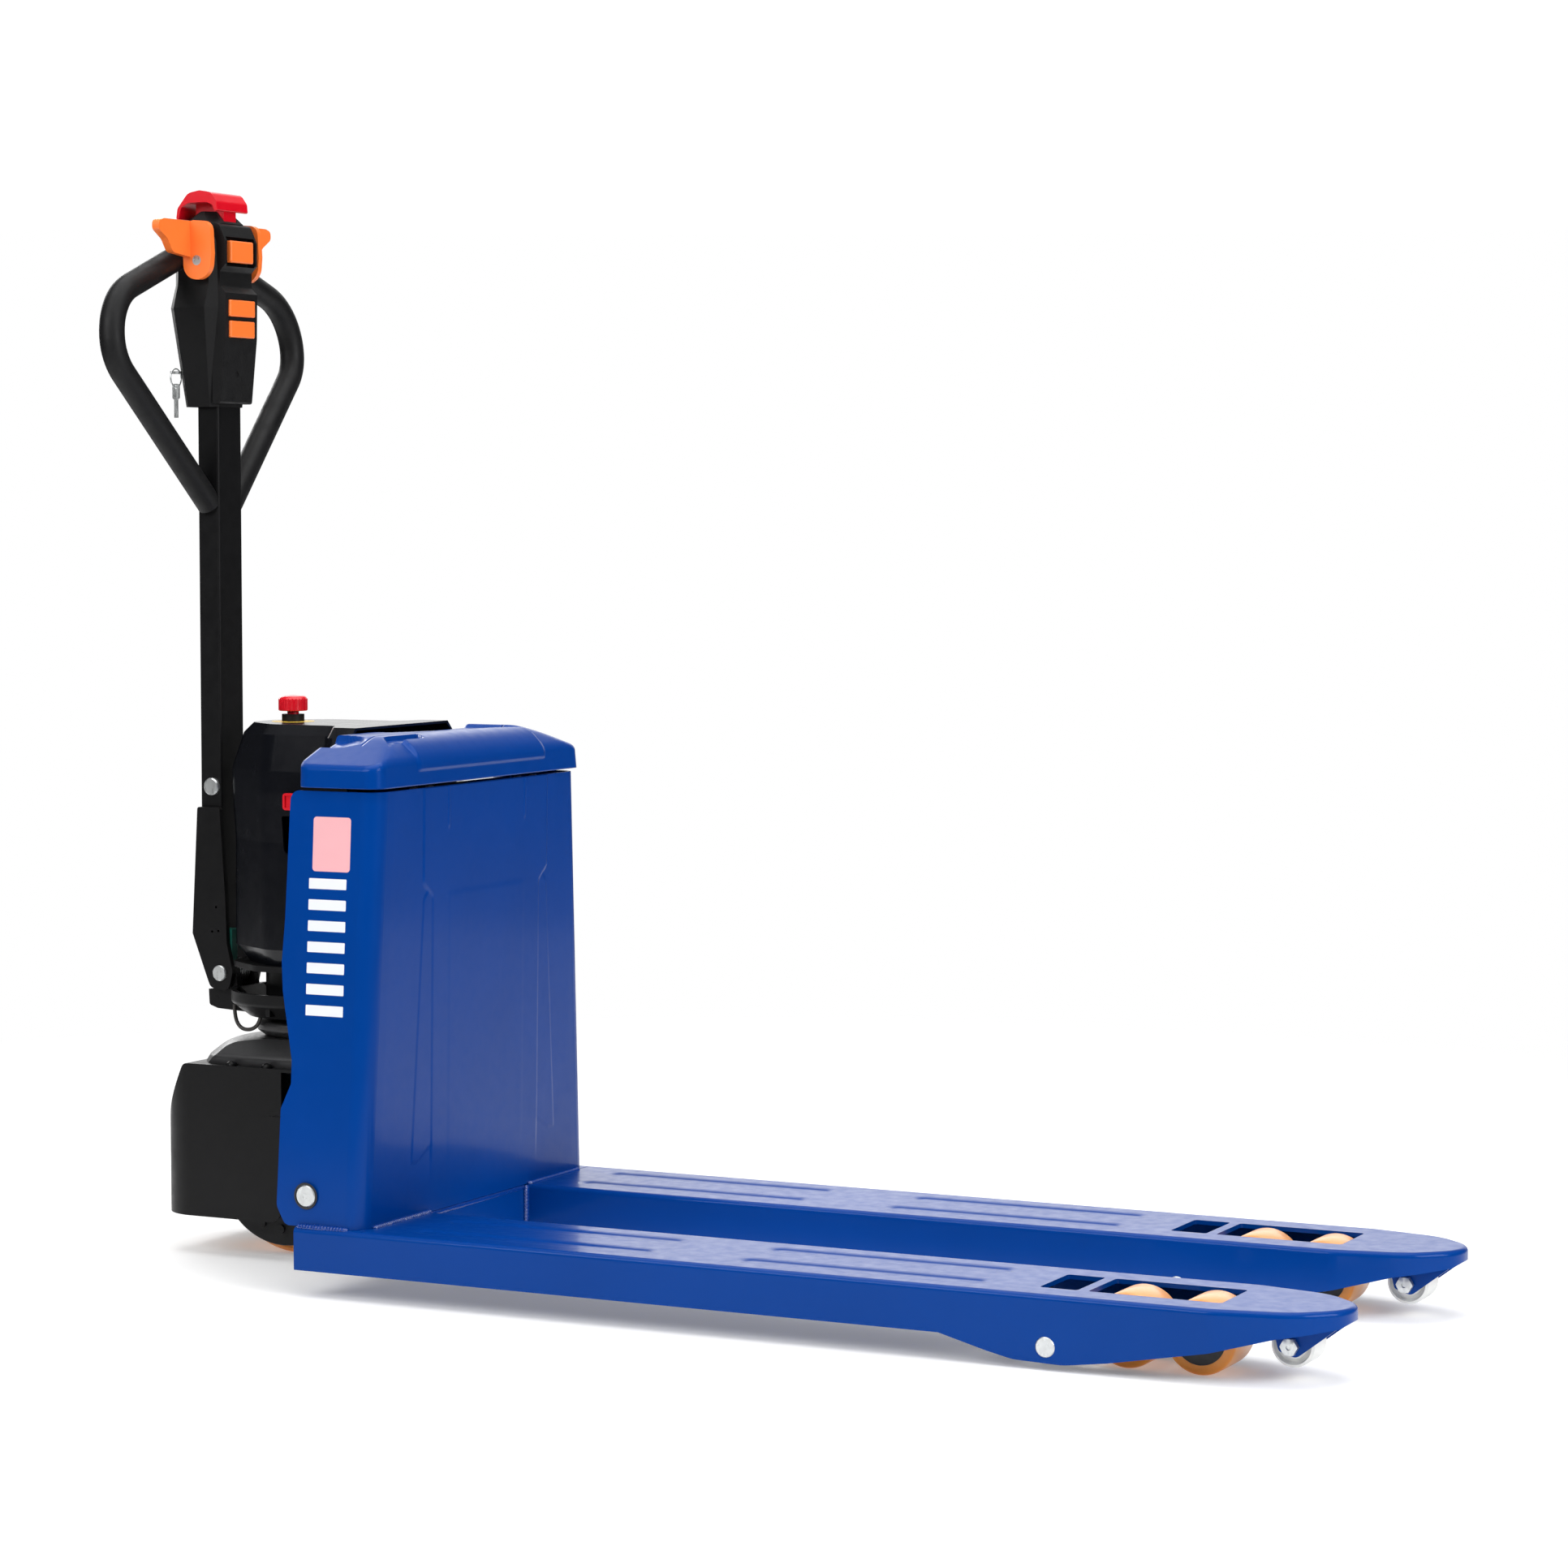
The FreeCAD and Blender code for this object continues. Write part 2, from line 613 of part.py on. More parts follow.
def power_cover():
    """Moulded cover, open underneath and at the back, 3 mm thick."""
    outer = []
    inner = []
    for z0, z1 in zip(cover_shape, cover_shape[1:]):
        outer.append(loft([cover_section(z0[0], *z0[1:], 0), cover_section(z1[0], *z1[1:], 0)]))
        top = min(z1[0], cover_top - 3)
        inner.append(loft([cover_section(z0[0] - (0.5 if z0 is cover_shape[0] else 0), *z0[1:], 3),
                           cover_section(top, *z1[1:], 3)]))
    shell = fuse(outer).cut(fuse(inner))
    shell = shell.cut(box(column_x - 2, column_x + 2, -112, 112, cover_foot - 5, 556))
    shell = shell.cut(rod((estop_x, 0, cover_top - 10), Z_AXIS, 11.5, 30))
    lead_hole = plate_xz([(-216, 490, 9), (-218, 532, 2), (-168, 534, 3), (-168, 484, 3), (-206, 484, 5)],
                         -110, -70)
    return shell.cut(lead_hole).cut(battery_plug())


def estop_collar():
    """Contact block and threaded neck of the emergency stop, through the top of the cover."""
    neck = turned([(7.1, 600), (11.5, 600), (11.5, cover_top), (13.5, cover_top),
                   (13.5, cover_top + 9), (7.1, cover_top + 9)], estop_x)
    block = box(estop_x - 16, estop_x + 16, -15, 15, 562, 600)
    return fuse([neck, block])


def estop_button():
    """Mushroom head with finger flutes round its rim."""
    z = cover_top + 13
    head = turned([(0, z), (16.5, z), (17.5, z + 1), (17.5, z + 14), (15, z + 17.5, 4), (0, z + 19)],
                  estop_x)
    flutes = [rod((estop_x + 18.3 * math.cos(k * math.pi / 12), 18.3 * math.sin(k * math.pi / 12),
                   z - 1), Z_AXIS, 1.4, 25) for k in range(24)]
    stem = rod((estop_x, 0, 612), Z_AXIS, 7, z - 612)
    return fuse([head.cut(Part.makeCompound(flutes)), stem])


def pump_unit():
    """Hydraulic power pack under the cover: motor, pump block and oil tank."""
    z = base_plate_z + 7
    tank = box(-196, -112, -70, 70, z + 12, z + 92)
    tank = tank.makeFillet(6, [e for e in tank.Edges if e.BoundBox.ZLength > 50])
    feet = box(-190, -118, -60, 60, z, z + 12)
    block = box(-186, -122, -34, 34, z + 92, z + 122)
    motor = rod((-154, 0, z + 122), Z_AXIS, 38, 108)
    cap = rod((-154, 0, z + 230), Z_AXIS, 30, 10)
    return fuse([tank, feet, block, motor, cap])


# ---- steered unit ---------------------------------------------------------------------------
casting_foot = 287.0
casting_floor = 295.0
pivot_pin_radius = 9.5
lug_half = 24.0


def pivot_lug():
    return plate_xz([(-356, 304), (-362, 334, 17), (-343, 353.5, 17), (-325, 334, 12), (-322, 304)],
                    -lug_half, lug_half)


def steering_casting():
    """Open dish round the steering column, with the tiller's pivot lug and stop at its rim."""
    dish = turned([(30, casting_foot), (70, casting_foot, 4), (92, 304, 6), (92, 318), (86, 318),
                   (86, 306), (68, casting_floor), (30, casting_floor)], steer_x)
    column = rod((steer_x, 0, casting_foot - 2), Z_AXIS, bearing_radius, 76)
    collar = rod((steer_x, 0, casting_floor - 2), Z_AXIS, 50, 48)
    ribs = []
    for k in range(6):
        rib = box(48, 88, -3, 3, casting_floor - 3, 308)
        rib.rotate(V(0, 0, 0), Z_AXIS, 60 * k + 30)
        rib.translate(V(steer_x, 0, 0))
        ribs.append(rib)
    arm = plate_xz([(steer_x - 60, casting_foot), (-352, 290, 6), (-364, 294, 4), (-365, 313),
                    (-356, 314), (-355, 303, 4), (-330, 307), (-324, 318), (steer_x - 80, 318),
                    (steer_x - 60, 300)], -lug_half, lug_half)
    body = fuse([dish, column, collar] + ribs + [arm, pivot_lug()])
    body = body.cut(rod_y(tiller_pivot_x, tiller_pivot_z, pivot_pin_radius, -60, 60))
    spring_room = box(-364, -322.5, -14, 14, tiller_pivot_z - 19, 370)
    return body.cut(spring_room)


def tiller_pivot_pin():
    pin = rod_y(tiller_pivot_x, tiller_pivot_z, pivot_pin_radius, -35, 35)
    ends = [e for e in pin.Edges if e.Curve.TypeId == "Part::GeomCircle"]
    return pin.makeChamfer(1, ends)


def tiller_return_spring():
    """Torsion spring wound round the pivot pin between the two halves of the lug."""
    wire_radius = 2.0
    coil_radius = 13.5
    turns = 4.5
    pitch = 5.4
    helix = Part.makeHelix(pitch, pitch * turns, coil_radius)
    section = Part.Wire([Part.makeCircle(wire_radius, V(coil_radius, 0, 0), Y_AXIS)])
    coil = Part.Wire(helix.Edges).makePipeShell([section], True, True)
    coil.rotate(V(0, 0, 0), X_AXIS, -90)
    coil.translate(V(tiller_pivot_x, -pitch * turns / 2, tiller_pivot_z))
    return coil


def tiller_switch():
    """Small switch that senses the upright tiller, on the lug beside the cover."""
    body = plate_xz([(-343, 345), (-331, 340), (-331, 388, 2), (-343, 388, 2)], -24, -12)
    return body.cut(pivot_lug())


def steering_neck():
    """Round neck between the casting and the dome, with the big nut that shows on it."""
    neck = turned([(0, 262), (50, 262), (61, 270, 5), (61, 280, 5), (44, casting_foot - 2),
                   (0, casting_foot - 2)], steer_x)
    return neck


def drive_dome():
    dome = turned([(0, guard_top), (dome_radius, guard_top), (dome_radius - 5, 240, 5),
                   (96, 256, 50), (64, 262), (0, 262)], steer_x)
    half = dome_half_width
    side = plate_yz([(-half, guard_top), (-half, 242, 8), (-half + 24, 263), (half - 24, 263),
                     (half, 242, 8), (half, guard_top)], steer_x - 150, steer_x + 150)
    return dome.common(side)


guard_back = -212.0
guard_bolt_x = [-286.0, -236.0, -190.0]
guard_bolt_y = 93.0
guard_profile = [(-352, guard_top, 10), (-382, 174, 90), (-395, 120, 60), (-395, 86, 60),
                 (-389, guard_foot)]


def wheel_guard():
    """Pressed guard round the drive wheel: top, bulged nose and two sides, open at the back."""
    def body(inset):
        lean = [(a + inset, b - (inset if i == 0 else 0), *rest)
                for i, (a, b, *rest) in enumerate(guard_profile)]
        foot = guard_foot if inset == 0 else guard_foot - 1
        lean[-1] = (lean[-1][0], foot)
        side = plate_xz(lean + [(guard_back + 60, foot), (guard_back + 60, guard_top - inset)],
                        -150, 150)
        half = guard_half - inset
        plan = [(guard_back + 60, half), (-395 + inset, half, 52 - inset),
                (-395 + inset, -half, 52 - inset), (guard_back + 60, -half)]
        return side.common(plate_xy(plan, 0, 300))
    shell = body(0).cut(body(3))
    trim = [(guard_back, guard_foot - 5), (guard_back, guard_foot), (guard_back, guard_top - 3.5),
            (guard_back + 61, guard_top - 3.5), (guard_back + 61, guard_foot - 5)]
    shell = shell.cut(plate_xz(trim, -150, 150))
    corner = plate_xz([(guard_back + 1, guard_foot - 1), (guard_back + 1, guard_foot + 16),
                       (guard_back, guard_foot + 16), (guard_back - 5, guard_foot + 5, 8),
                       (guard_back - 16, guard_foot), (guard_back - 16, guard_foot - 1)], -150, 150)
    shell = shell.cut(corner)
    shell = shell.cut(rod((steer_x, 0, guard_top - 10), Z_AXIS, 60, 30))
    for x in guard_bolt_x:
        for s in (1, -1):
            shell = shell.cut(rod((x, s * guard_bolt_y, guard_top - 10), Z_AXIS, 3, 30))
    return shell


def guard_bolts():
    bolts = []
    for x in guard_bolt_x:
        for s in (1, -1):
            head = turned([(0, guard_top), (7.5, guard_top), (7, guard_top + 3, 2),
                           (3.5, guard_top + 6, 2), (0, guard_top + 6)], x, s * guard_bolt_y)
            bolts.append(head.fuse(rod((x, s * guard_bolt_y, guard_top - 10), Z_AXIS, 3, 10)))
    return Part.makeCompound(bolts)


gear_radius = 92.0
axle_radius = 15.0


def drive_unit():
    """Yoke, gear housing on the right of the wheel and motor on its left."""
    r = drive_wheel_radius
    top = plate_xy([(steer_x - 80, -62, 10), (steer_x + 70, -62, 10), (steer_x + 70, 62, 10),
                    (steer_x - 80, 62, 10)], 216, 229)
    hub = rod((steer_x, 0, 216), Z_AXIS, 59, guard_top - 216)
    gear = rod_y(steer_x, r, gear_radius, -60, -39)
    gear = gear.makeFillet(3, [e for e in gear.Edges if e.BoundBox.Center.y < -59
                               and e.Curve.TypeId == "Part::GeomCircle"])
    neck = box(steer_x - 60, steer_x + 60, -60, -39, r, 218)
    screws = [rod_y(steer_x + 72 * math.cos(a), r + 72 * math.sin(a), 5.5, -63, -59)
              for a in (math.radians(-69 + 22 * k) for k in range(-7, 9))]
    axle = rod_y(steer_x, r, axle_radius, -40, 52)
    plate = plate_xz([(steer_x - 50, 218), (steer_x - 44, r, 0), (steer_x - 30, r - 44, 14),
                      (steer_x + 30, r - 44, 14), (steer_x + 44, r), (steer_x + 50, 218)], 39, 49)
    motor = rod_y(steer_x, r, 46, 49, 95)
    return fuse([top, hub, gear, neck] + screws + [axle, plate, motor])


def drive_tyre():
    half = drive_wheel_width / 2
    r = drive_wheel_radius
    return turned_y([(-half, 90), (half, 90), (half, r - 6), (half - 6, r, 5), (6 - half, r, 5),
                     (-half, r - 6)], steer_x, r, 0)


def drive_hub():
    half = drive_wheel_width / 2
    bore = axle_radius + running_gap
    profile = [(-half, bore), (half, bore), (half, 34), (12, 40, 8), (12, 76, 6), (half - 4, 82),
               (half - 4, 90), (4 - half, 90), (4 - half, 82), (-12, 76, 6), (-12, 40, 8), (-half, 34)]
    return turned_y(profile, steer_x, drive_wheel_radius, 0)


def steering_cable():
    """Motor cable: out of the casting's floor, a hanging loop, and back up beside the neck."""
    route = [V(-303.5, -60, 301), V(-303.5, -60, 285), V(-295, -60, 272), V(-280, -60, 271),
             V(-268, -61, 279), V(-266, -61, casting_foot + 1)]
    return bar_through(route, [9, 9, 9, 3], 2.3).cut(steering_casting())


# ---- tiller -----------------------------------------------------------------------------------
def tiller_tube():
    x0 = tiller_x - tube_depth / 2
    outer = box(x0, x0 + tube_depth, -tube_width / 2, tube_width / 2, 366, head_foot + 150)
    outer = outer.makeFillet(3, [e for e in outer.Edges if e.BoundBox.ZLength > 500])
    inner = box(x0 + 3, x0 + tube_depth - 3, 3 - tube_width / 2, tube_width / 2 - 3, 360, 1200)
    return outer.cut(inner).cut(rod_y(-356, 560, 9, -60, 60))


def tiller_bracket():
    """Two cheek plates that grip the tube and carry it on the pivot pin."""
    profile = [(-374, 535, 3), (-382.5, 381, 3), (-362, 328, 3), (-357, 316, 8), (-331, 312, 10),
               (-325, 336, 12), (-333, 370, 10), (-335, 430), (-342, 535, 3)]
    cheeks = []
    for s in (1, -1):
        low, high = sorted((s * 25, s * 32))
        cheek = plate_xz(profile, low, high)
        cheek = cheek.cut(rod_y(tiller_pivot_x, tiller_pivot_z, pivot_pin_radius + running_gap,
                                low - 1, high + 1))
        for x, z in ((-348, 414), (-354, 384), (-345, 385)):
            cheek = cheek.cut(rod_y(x, z, 1.5, low - 1, high + 1))
        cheeks.append(cheek)
    return Part.makeCompound(cheeks)


def tiller_pin():
    pin = rod_y(-356, 560, 9, -30, 30)
    heads = [rod_y(-356, 560, 10.5, *sorted((s * 25, s * 30))) for s in (1, -1)]
    pin = fuse([pin] + heads)
    ends = [e for e in pin.Edges if e.Curve.TypeId == "Part::GeomCircle"
            and abs(abs(e.BoundBox.Center.y) - 30) < 0.1]
    return pin.makeChamfer(1.5, ends)


handle_lean = 5.7             # degrees that the loops lean back from the tube


def handle_loops():
    """Two round-bar loops, welded to the tube below and held in the head above."""
    loops = []
    foot_z = 895.0
    for s in (1, -1):
        points = [V(0, s * 22, 6), V(0, s * 191, 176), V(0, s * 191, 247), V(0, s * 54, 299)]
        loop = bar_through(points, [55, 70], handle_radius)
        loop.rotate(V(0, 0, 0), Y_AXIS, -handle_lean)
        loop.translate(V(tiller_x, 0, foot_z))
        inside = box(tiller_x - 15, tiller_x + 15, min(0, s * 25), max(0, s * 25), 850, 960)
        loops.append(loop.cut(inside))
    return Part.makeCompound(loops)


def head_section(z, back, front, half, cut):
    """One level of the control head: a rectangle with its four upright edges cut off."""
    corners = [(back, half - cut), (back + cut, half), (front - cut, half), (front, half - cut),
               (front, cut - half), (front - cut, -half), (back + cut, -half), (back, cut - half)]
    return outline(corners, lambda a, b: V(a, b, z))


split_x = -352.0
head_shape = [(head_foot, -389, -342, 33, 8), (head_belt, -404, -336, 46, 12),
              (1164, -398, -334, 42, 10), (1216, -398, -334, 40, 10), (1238, -390, -338, 36, 12),
              (head_top, -374, -350, 26, 10)]
console = [(-345, head_foot + 4), (-345, 1238, 4), (-334, 1236, 6), (-325, 1216), (-325, 1188),
           (-333, 1180, 4), (-333, 1162, 4), (-325, 1154), (-326, 1100), (-334, 1022, 3)]
button_x = -325.0
buttons = {"raise_button": (1136.0, 20.0, 27.0), "lower_button": (1111.0, 20.0, 26.0),
           "horn_button": (1203.5, 26.0, 24.0)}
lever_x = -352.0
lever_z = 1192.0
lever_half = 47.0
key_y = -19.0
key_z = 1060.0


def head_body():
    parts = [loft([head_section(*low), head_section(*high)])
             for low, high in zip(head_shape, head_shape[1:])]
    return fuse(parts)


def head_bores(body):
    """Openings for the tube, the loop ends, the lever shaft, the buttons and the key."""
    body = body.cut(box(tiller_x - 15.1, tiller_x + 15.1, -25.1, 25.1, head_foot - 5, head_foot + 151))
    body = body.cut(rod_y(lever_x, lever_z, 6.3, -80, 80))
    for s in (1, -1):
        start = V(tiller_x - 29.8, s * 90, 1178.9)
        aim = V(0, -s * 137, 52).normalize()
        body = body.cut(Part.makeCylinder(handle_radius + 0.2, 60, start, aim))
    return body


def head_shell():
    """Rear half of the head, on the operator's side."""
    shell = head_body().common(box(-450, split_x, -100, 100, 1000, 1300))
    shell = head_bores(shell)
    shell = shell.cut(Part.makeCylinder(4.2 + running_gap, 32, V(-411, key_y, key_z), X_AXIS))
    return shell.cut(box(-382, -350, -14, 14, 1236, 1260))


def head_console():
    """Front half of the head, with the raised console that holds the push buttons."""
    half = head_body().common(box(split_x, -300, -100, 100, 1000, 1300))
    raised = plate_xz(console, -34, 34)
    body = head_bores(fuse([half, raised]))
    for z, tall, wide in buttons.values():
        body = body.cut(box(button_x - 9, -300, -wide - 0.6, wide + 0.6, z - tall / 2 - 0.6,
                            z + tall / 2 + 0.6))
    body = body.cut(box(-336, -300, -30, 30, 1186, 1221))
    body = body.cut(Part.makeCylinder(4, 8, V(-331, -4, 1057), X_AXIS))
    return body.cut(box(-352.5, -340, -14, 14, 1236, 1260))


def push_button(z, tall, wide):
    back = button_x - 6
    key = box(back, button_x + 2, -wide, wide, z - tall / 2, z + tall / 2)
    return key.makeFillet(2, [e for e in key.Edges if e.BoundBox.Center.x > button_x - 3])


def thumb_shaft():
    return rod_y(lever_x, lever_z, 6, -lever_half - 8, lever_half + 8)


def thumb_lever(side):
    """Paddle beside the head with a finger wing that stands out from it."""
    inner, outer = side * lever_half, side * (lever_half + 8)
    low, high = sorted((inner, outer))
    paddle = plate_xz([(-371, 1172, 18), (-334, 1166, 20), (-331, 1200), (-333, 1238, 12),
                       (-362, 1240, 10), (-368, 1228, 4), (-371, 1208, 6)], low, high)
    low = lever_half + 4
    wing = plate_yz([(low, 1239, 3), (108, 1239, 8), (119, 1236, 6), (119, 1226, 6), (101, 1215, 14),
                     (90, 1200, 10), (low, 1196)], -371, -361)
    wing = wing if side > 0 else wing.mirror(V(0, 0, 0), Y_AXIS)
    body = fuse([paddle, wing])
    return body.cut(rod_y(lever_x, lever_z, 6, *sorted((inner - side, outer + side))))


def reverse_button():
    """Saddle-shaped safety button draped over the top of the head."""
    outer = [(-396, 1243, 2), (-394, 1256, 8), (-379, 1274, 14), (-362, 1277, 14), (-346, 1274, 10),
             (-338, 1263, 6), (-337, 1252, 2), (-341, 1252, 1), (-344, 1259, 4), (-352, 1262.5, 14),
             (-378, 1262.5, 16), (-389, 1257, 8), (-392.5, 1243, 1)]
    cap = plate_xz(outer, -33, 33)
    stem = box(-381, -341, -13, 13, 1240, 1266)
    stem = stem.cut(box(-382, -361.2, -14, 14, 1230, 1238))
    return fuse([cap, stem])


def ignition_key():
    bow = box(-412.2, -396, key_y - 9, key_y + 9, key_z - 1.5, key_z + 1.5)
    bow = bow.makeFillet(4, [e for e in bow.Edges if e.BoundBox.ZLength > 2])
    bow = bow.cut(rod((-405, key_y + 4, key_z - 10), Z_AXIS, 3.3, 20))
    blade = Part.makeCylinder(4.2, 18, V(-397, key_y, key_z), X_AXIS)
    return fuse([bow, blade])


def key_ring():
    """Split ring through the bow, with the spare key hanging from it."""
    x, y, z = -405, key_y - 4.5, key_z - 6.5
    ring = Part.makeTorus(11, 0.9, V(x, y, z), X_AXIS)
    bow = box(x - 5, x + 5, y - 0.8, y + 0.8, z - 26, z - 7)
    bow = bow.makeFillet(3, [e for e in bow.Edges if e.BoundBox.YLength > 1.5])
    blade = box(x - 2.5, x + 2.5, y - 0.8, y + 0.8, z - 48, z - 25)
    spare = fuse([bow, blade]).cut(rod_y(x, z - 11, 2, y - 4, y + 4))
    return Part.makeCompound([ring, spare])


os.makedirs("parts", exist_ok=True)
for name, side in SIDES.items():
    save("fork_" + name, fork(side))
    save("entry_roller_" + name, entry_roller(side))
save("bracket_pins", bracket_pins())
save("entry_bolts", entry_bolts())
save("battery_box", battery_box())
save("cross_plates", cross_plates())
save("guide_rods", guide_rods())
save("battery_pack", battery_pack())
save("battery_plug", battery_plug())
save("battery_leads", battery_leads())
save("rocker_shaft", rocker_shaft())
save("cylinder_rod", cylinder_rod())
save("battery_lid", battery_lid())
save("lid_hinges", lid_hinges())
save("wheel_bracket_left", wheel_bracket(1))
save("wheel_bracket_right", wheel_bracket(-1))
save("bogie_left", bogie(1))
save("bogie_right", bogie(-1))
for name, side in SIDES.items():
    save("load_wheel_rear_" + name, load_wheel(side, -1))
    save("load_wheel_front_" + name, load_wheel(side, 1))
    save("push_rod_" + name, push_rod(side))
save("rocker", rocker())
save("drive_base_frame", drive_base_frame())
save("lift_cylinder", lift_cylinder())
save("power_cover", power_cover())
save("estop_collar", estop_collar())
save("estop_button", estop_button())
save("pump_unit", pump_unit())
save("steering_casting", steering_casting())
save("tiller_pivot_pin", tiller_pivot_pin())
save("tiller_return_spring", tiller_return_spring())
save("tiller_switch", tiller_switch())
save("steering_neck", steering_neck())
save("drive_dome", drive_dome())
save("wheel_guard", wheel_guard())
save("guard_bolts", guard_bolts())
save("drive_unit", drive_unit())
save("drive_tyre", drive_tyre())
save("drive_hub", drive_hub())
save("steering_cable", steering_cable())
save("tiller_tube", tiller_tube())
save("tiller_bracket", tiller_bracket())
save("tiller_pin", tiller_pin())
save("handle_loops", handle_loops())
save("head_shell", head_shell())
save("head_console", head_console())
for name, (z, tall, wide) in buttons.items():
    save(name, push_button(z, tall, wide))
save("thumb_shaft", thumb_shaft())
for name, side in SIDES.items():
    save("thumb_lever_" + name, thumb_lever(side))
save("reverse_button", reverse_button())
save("ignition_key", ignition_key())
save("key_ring", key_ring())
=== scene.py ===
import json
import math

import bmesh
import bpy
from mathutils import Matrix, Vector
from mathutils.noise import noise


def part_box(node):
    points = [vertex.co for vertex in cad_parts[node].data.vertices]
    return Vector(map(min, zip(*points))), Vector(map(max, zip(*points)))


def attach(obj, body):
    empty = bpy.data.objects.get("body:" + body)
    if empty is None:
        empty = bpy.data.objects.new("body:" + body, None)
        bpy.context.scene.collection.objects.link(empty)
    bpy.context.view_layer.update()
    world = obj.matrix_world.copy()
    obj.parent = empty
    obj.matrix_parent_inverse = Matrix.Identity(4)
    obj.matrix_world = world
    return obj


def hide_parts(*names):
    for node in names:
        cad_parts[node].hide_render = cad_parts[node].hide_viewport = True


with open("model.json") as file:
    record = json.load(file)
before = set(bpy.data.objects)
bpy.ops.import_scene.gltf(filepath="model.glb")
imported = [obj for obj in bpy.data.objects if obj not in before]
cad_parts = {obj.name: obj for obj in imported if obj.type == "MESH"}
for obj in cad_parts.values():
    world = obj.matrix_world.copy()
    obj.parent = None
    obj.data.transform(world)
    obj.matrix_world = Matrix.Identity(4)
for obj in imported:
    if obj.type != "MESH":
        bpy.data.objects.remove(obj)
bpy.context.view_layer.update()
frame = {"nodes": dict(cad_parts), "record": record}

# Electric pallet truck.  Places are given in millimetres from the foot of the load face, as in
# the CAD part: x 0 is the load face, y 0 the middle plane, z 0 the floor.
FORK_LENGTH = 1150.0
LOAD_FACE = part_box("fork_left")[1][0] - FORK_LENGTH / 1000
FORK_CENTRE = 191.0
BOX_FOOT = 80.0
BOX_TOP = 575.0
BOX_HALF_FOOT = 261.5
BOX_HALF_TOP = 230.0
BOX_LEAN = 7.0
SIDES = {"left": 1, "right": -1}
UP = Vector((0, 0, 1))
FORTH = Vector((1, 0, 0))


def at(x, y, z):
    """A place in load-face millimetres as a point in the frame, in metres."""
    return Vector((LOAD_FACE + x / 1000, y / 1000, z / 1000))


def smooth(value, low, high):
    """0 below low, 1 above high, and a smooth step between them."""
    t = max(0.0, min(1.0, (value - low) / (high - low)))
    return t * t * (3 - 2 * t)


def band(value, low, high, soft):
    """1 inside low..high, falling to 0 over a soft edge outside it."""
    return smooth(value, low - soft, low) * (1 - smooth(value, high, high + soft))


def box_rise(z):
    """Share of the battery box's height that lies below z."""
    return (z - BOX_FOOT) / (BOX_TOP - BOX_FOOT)


def box_half(z):
    """Half the battery box's width at a height."""
    return BOX_HALF_FOOT + (BOX_HALF_TOP - BOX_HALF_FOOT) * box_rise(z)


# ---- node trees ---------------------------------------------------------------------------------
class Tree:
    """A node tree with short ways to add, link and remap."""

    def __init__(self, tree):
        self.tree = tree

    def add(self, kind, **settings):
        node = self.tree.nodes.new(kind)
        for key, value in settings.items():
            setattr(node, key, value)
        return node

    def link(self, source, target):
        self.tree.links.new(source, target)

    def remap(self, value, low, high, source_low=0.3, source_high=0.7, **settings):
        node = self.add("ShaderNodeMapRange", **settings)
        node.inputs["From Min"].default_value = source_low
        node.inputs["From Max"].default_value = source_high
        node.inputs["To Min"].default_value = low
        node.inputs["To Max"].default_value = high
        self.link(value, node.inputs["Value"])
        return node.outputs["Result"]

    def combine(self, operation, first, second):
        node = self.add("ShaderNodeMath", operation=operation)
        self.link(first, node.inputs[0])
        self.link(second, node.inputs[1])
        return node.outputs["Value"]


class Graph(Tree):
    """A material's node tree, with the few nodes that the finishes here share."""

    def __init__(self, name):
        self.material = bpy.data.materials.new(name)
        self.material.use_nodes = True
        super().__init__(self.material.node_tree)
        self.shader = self.tree.nodes["Principled BSDF"]
        self.place = self.add("ShaderNodeTexCoord").outputs["Object"]

    def noise(self, scale, detail=3.0, roughness=0.5):
        node = self.add("ShaderNodeTexNoise")
        node.inputs["Scale"].default_value = scale
        node.inputs["Detail"].default_value = detail
        node.inputs["Roughness"].default_value = roughness
        self.link(self.place, node.inputs["Vector"])
        return node.outputs["Fac"]

    def mix(self, factor, first, second):
        node = self.add("ShaderNodeMix", data_type="RGBA")
        self.link(factor, node.inputs["Factor"])
        for socket, colour in ((node.inputs[6], first), (node.inputs[7], second)):
            if isinstance(colour, tuple):
                socket.default_value = (*colour, 1.0)
            else:
                self.link(colour, socket)
        return node.outputs[2]

    def bump(self, height, distance, after=None):
        node = self.add("ShaderNodeBump")
        node.inputs["Distance"].default_value = distance
        node.inputs["Strength"].default_value = 1.0
        self.link(height, node.inputs["Height"])
        if after is not None:
            self.link(after, node.inputs["Normal"])
        return node.outputs["Normal"]


# ---- finishes -----------------------------------------------------------------------------------
def shade(colour, factor):
    return tuple(channel * factor for channel in colour)


